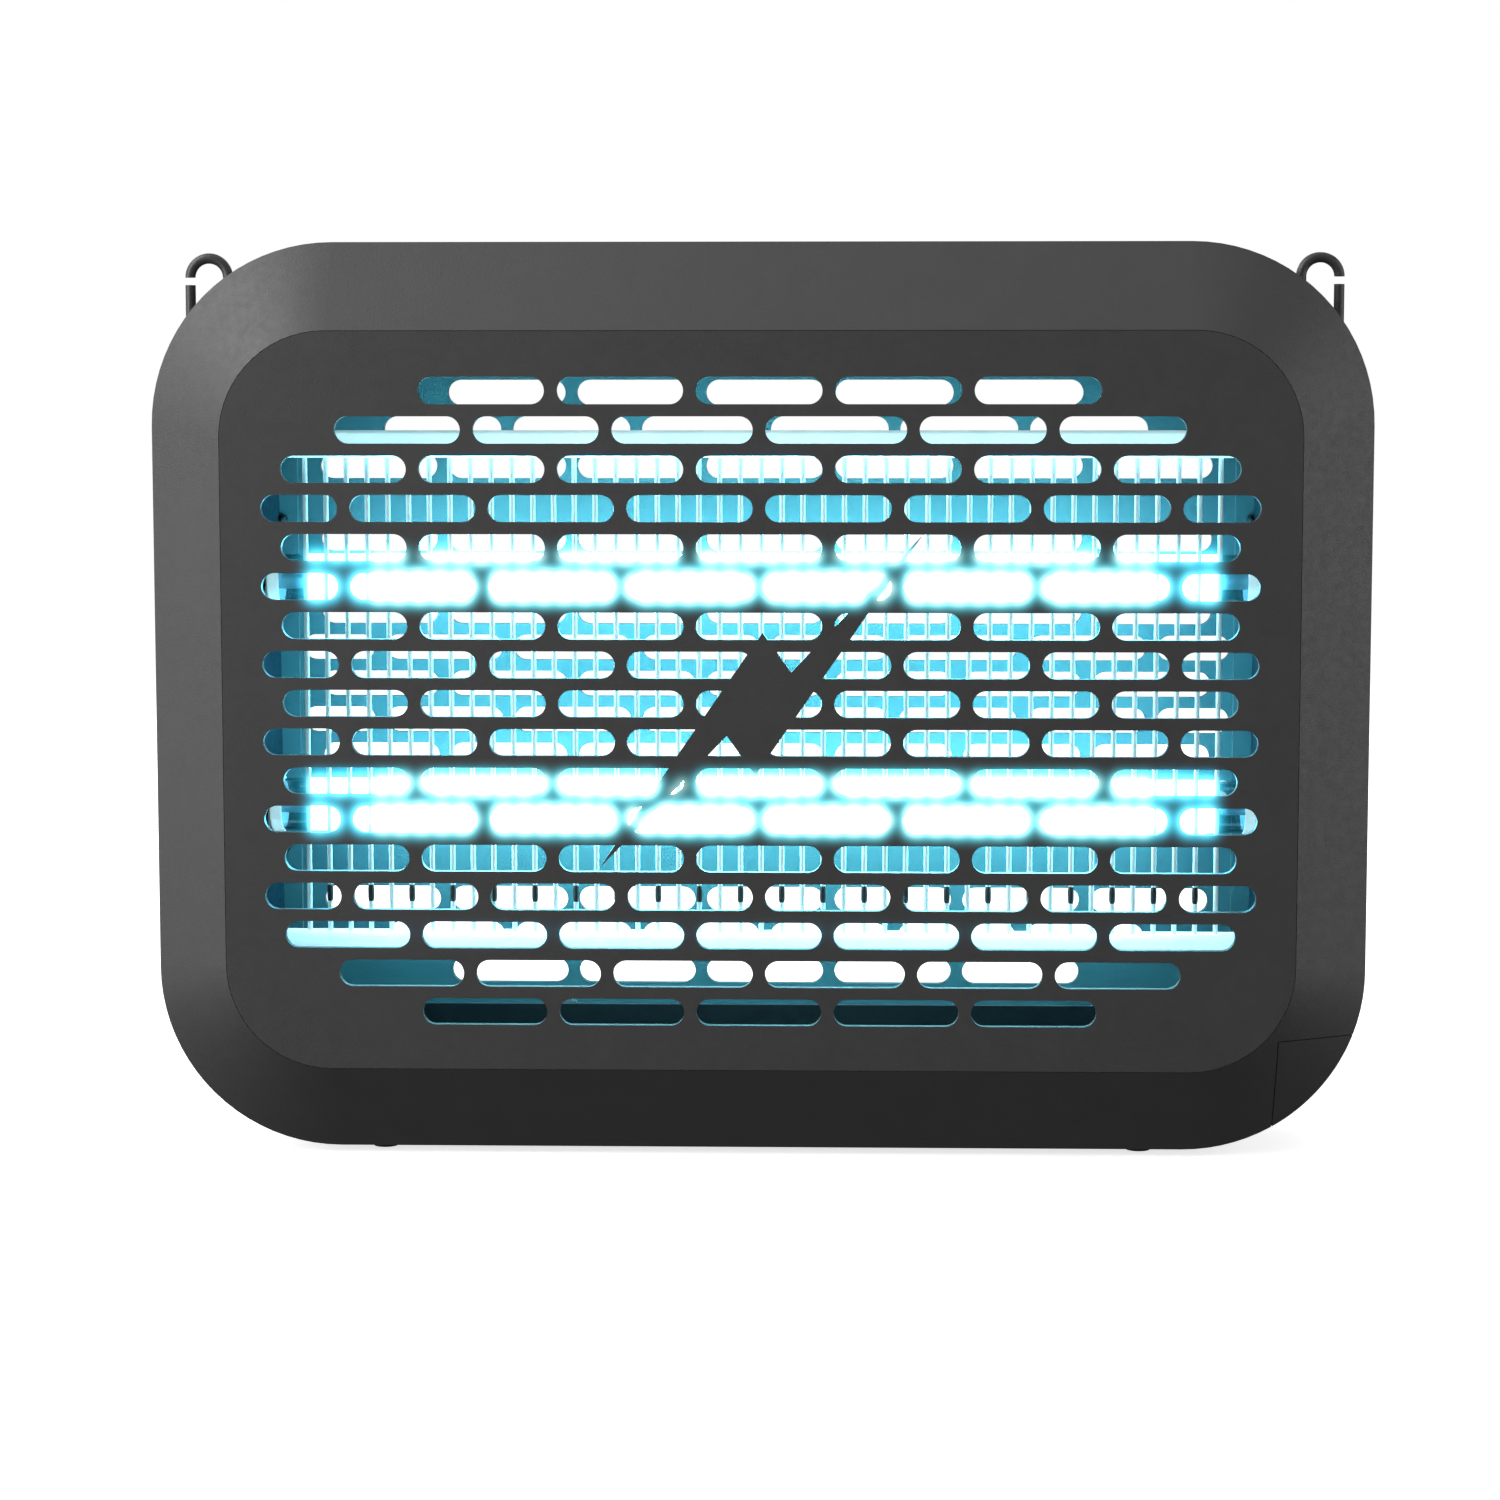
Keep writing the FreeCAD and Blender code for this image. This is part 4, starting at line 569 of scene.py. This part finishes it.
MARK_HEIGHT = 0.00018
MARK_SINK = 0.00006
MARK_LEVEL = 0.0031
BAR_SIZE = (0.00045, 0.0024)
RING_RADII = (0.0008, 0.0012)
RING_SEGMENTS = 32
mark_paint = moulded("mark_white", (0.8, 0.8, 0.8), 0.5, 900.0, 0.00002)


def surface_point(node, start, direction):
    """Where a straight line from start first meets a CAD node, and the surface's normal there."""
    hit, place, normal, _ = nodes[node].ray_cast(Vector(start), Vector(direction))
    if not hit:
        raise RuntimeError("no surface of " + node + " there")
    return place, normal


low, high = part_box("switch_rocker")
middle = (low + high) / 2
for name, level in (("rocker_mark_on", MARK_LEVEL), ("rocker_mark_off", -MARK_LEVEL)):
    start = (middle.x, high.y + 0.01, middle.z + level)
    place, normal = surface_point("switch_rocker", start, (0, -1, 0))
    turn = normal.to_track_quat("X", "Z").to_matrix().to_4x4()
    turn = Matrix.Translation(place - normal * MARK_SINK) @ turn
    mesh = bmesh.new()
    if name == "rocker_mark_on":
        width, height = BAR_SIZE
        for vertex in bmesh.ops.create_cube(mesh, size=1.0)["verts"]:
            x, y, z = vertex.co
            vertex.co = turn @ Vector(((x + 0.5) * MARK_HEIGHT, y * width, z * height))
    else:
        inner, outer = RING_RADII
        ring = [(0, inner), (MARK_HEIGHT, inner), (MARK_HEIGHT, outer), (0, outer), (0, inner)]
        lathe(mesh, ring, turn, RING_SEGMENTS)
        bmesh.ops.remove_doubles(mesh, verts=mesh.verts, dist=WELD)
    finished(name, mesh, "rocker", slot_of_node["switch_rocker"], mark_paint, smooth=False)


# ---------------------------------------------------------------- light, floor, camera and lens glow

AIM = (0.0, 0.0, 0.13)


def soft_light(name, place, width, height, power):
    lamp = bpy.data.lights.new(name, "AREA")
    lamp.shape = "RECTANGLE"
    lamp.size = width
    lamp.size_y = height
    lamp.energy = power
    thing = bpy.data.objects.new(name, lamp)
    thing.location = place
    thing.rotation_euler = (Vector(AIM) - Vector(place)).to_track_quat("-Z", "Y").to_euler()
    bpy.context.scene.collection.objects.link(thing)
    thing.visible_camera = False


soft_light("left_side_softbox", (-1.3, -0.15, 0.35), 0.6, 1.2, 3.2)
soft_light("left_front_softbox", (-1.1, -0.9, 0.5), 0.8, 1.2, 15.6)
soft_light("top_left_softbox", (-0.9, -0.3, 1.2), 0.8, 0.8, 11.2)
soft_light("top_softbox", (0.0, -0.15, 1.5), 1.4, 0.6, 2.9)
soft_light("right_side_softbox", (1.3, -0.15, 0.35), 0.6, 1.2, 5.5)
soft_light("right_front_softbox", (1.1, -0.9, 0.4), 0.8, 1.2, 2.7)
soft_light("back_left_softbox", (-0.9, 1.1, 0.7), 0.8, 1.0, 9.0)
soft_light("back_right_softbox", (0.5, 1.2, 1.0), 0.8, 1.0, 6.0)

ROOM_LIGHT = 0.086

world = bpy.data.worlds.new("white_room")
bpy.context.scene.world = world
world.use_nodes = True
tree = world.node_tree
background = tree.nodes["Background"]
paths = tree.nodes.new("ShaderNodeLightPath")
mix = tree.nodes.new("ShaderNodeMixShader")
seen = tree.nodes.new("ShaderNodeBackground")
seen.inputs["Color"].default_value = (1.0, 1.0, 1.0, 1.0)
seen.inputs["Strength"].default_value = 1.0
background.inputs["Color"].default_value = (0.96, 0.98, 1.0, 1.0)
background.inputs["Strength"].default_value = ROOM_LIGHT
tree.links.new(paths.outputs["Is Camera Ray"], mix.inputs["Fac"])
tree.links.new(background.outputs["Background"], mix.inputs[1])
tree.links.new(seen.outputs["Background"], mix.inputs[2])
tree.links.new(mix.outputs["Shader"], tree.nodes["World Output"].inputs["Surface"])

FLOOR_SIDE = 30.0
FLOOR_GAP = 0.0002
# The floor gives off a little more light far from the object than near it.
NEAR_GLOW, FAR_GLOW = 0.74, 0.95
NEAR_REACH, FAR_REACH = 0.35, 1.4

mesh = bmesh.new()
bmesh.ops.create_grid(mesh, x_segments=1, y_segments=1, size=FLOOR_SIDE / 2)
data = bpy.data.meshes.new("floor")
mesh.to_mesh(data)
mesh.free()
floor = bpy.data.objects.new("floor", data)
floor.location.z = cad_box[0][2] - FLOOR_GAP
bpy.context.scene.collection.objects.link(floor)
floor.visible_diffuse = False
floor.visible_glossy = False
floor_paint = Shader("floor_white", (0.92, 0.92, 0.92), 0.9)
floor_paint.set("Emission Color", (1.0, 1.0, 1.0, 1.0))
near_far = floor_paint.tree.nodes.new("ShaderNodeVectorMath")
near_far.operation = "LENGTH"
floor_paint.link(floor_paint.coordinates, near_far.inputs[0])
glow = floor_paint.ranged(near_far.outputs["Value"], NEAR_GLOW, FAR_GLOW, NEAR_REACH, FAR_REACH)
floor_paint.link(glow, floor_paint.surface.inputs["Emission Strength"])
data.materials.append(floor_paint.material)

camera = bpy.data.cameras.new("camera")
camera.lens = 83.24
camera.sensor_width = 36.0
camera.clip_end = 100.0
eye = bpy.data.objects.new("camera", camera)
eye.location = (0.0243, -1.0132, 0.2129)
eye.rotation_euler = (math.pi / 2 - 0.096, 0.0, 0.0275)
bpy.context.scene.collection.objects.link(eye)
bpy.context.scene.camera = eye

scene = bpy.context.scene
scene.view_settings.view_transform = "Standard"

# A camera's lens spreads some of the lamps' light over what is next to them: a pale
# glow close by and a blue-green one further out. Each reach is a share of the picture's width.
BLOOM_THRESHOLD = 3.0
BLOOMS = (
    (0.0085, (0.45, 0.05, 0.024, 1.0)),
    (0.013, (0.105, 0.145, 0.135, 1.0)),
)
scene.use_nodes = True
lens = scene.node_tree
lens.nodes.clear()


def mixed(kind, first, second):
    """A compositor mix; a tuple for second is a constant colour."""
    node = lens.nodes.new("CompositorNodeMixRGB")
    node.blend_type = kind
    lens.links.new(first, node.inputs[1])
    if isinstance(second, tuple):
        node.inputs[2].default_value = second
    else:
        lens.links.new(second, node.inputs[2])
    return node.outputs["Image"]


picture = lens.nodes.new("CompositorNodeRLayers").outputs["Image"]
excess = mixed("SUBTRACT", picture, (BLOOM_THRESHOLD, BLOOM_THRESHOLD, BLOOM_THRESHOLD, 1.0))
bright = mixed("LIGHTEN", excess, (0.0, 0.0, 0.0, 1.0))
whole = picture
for reach, tint in BLOOMS:
    pixels = lens.nodes.new("CompositorNodeRelativeToPixel")
    pixels.data_type = "VECTOR"
    pixels.reference_dimension = "X"
    pixels.inputs[0].default_value = (reach, reach)
    lens.links.new(picture, pixels.inputs["Image"])
    spread = lens.nodes.new("CompositorNodeBlur")
    spread.filter_type = "GAUSS"
    lens.links.new(bright, spread.inputs["Image"])
    lens.links.new(pixels.outputs[1], spread.inputs["Size"])
    whole = mixed("ADD", whole, mixed("MULTIPLY", spread.outputs["Image"], tint))
result = lens.nodes.new("CompositorNodeComposite")
lens.links.new(whole, result.inputs["Image"])
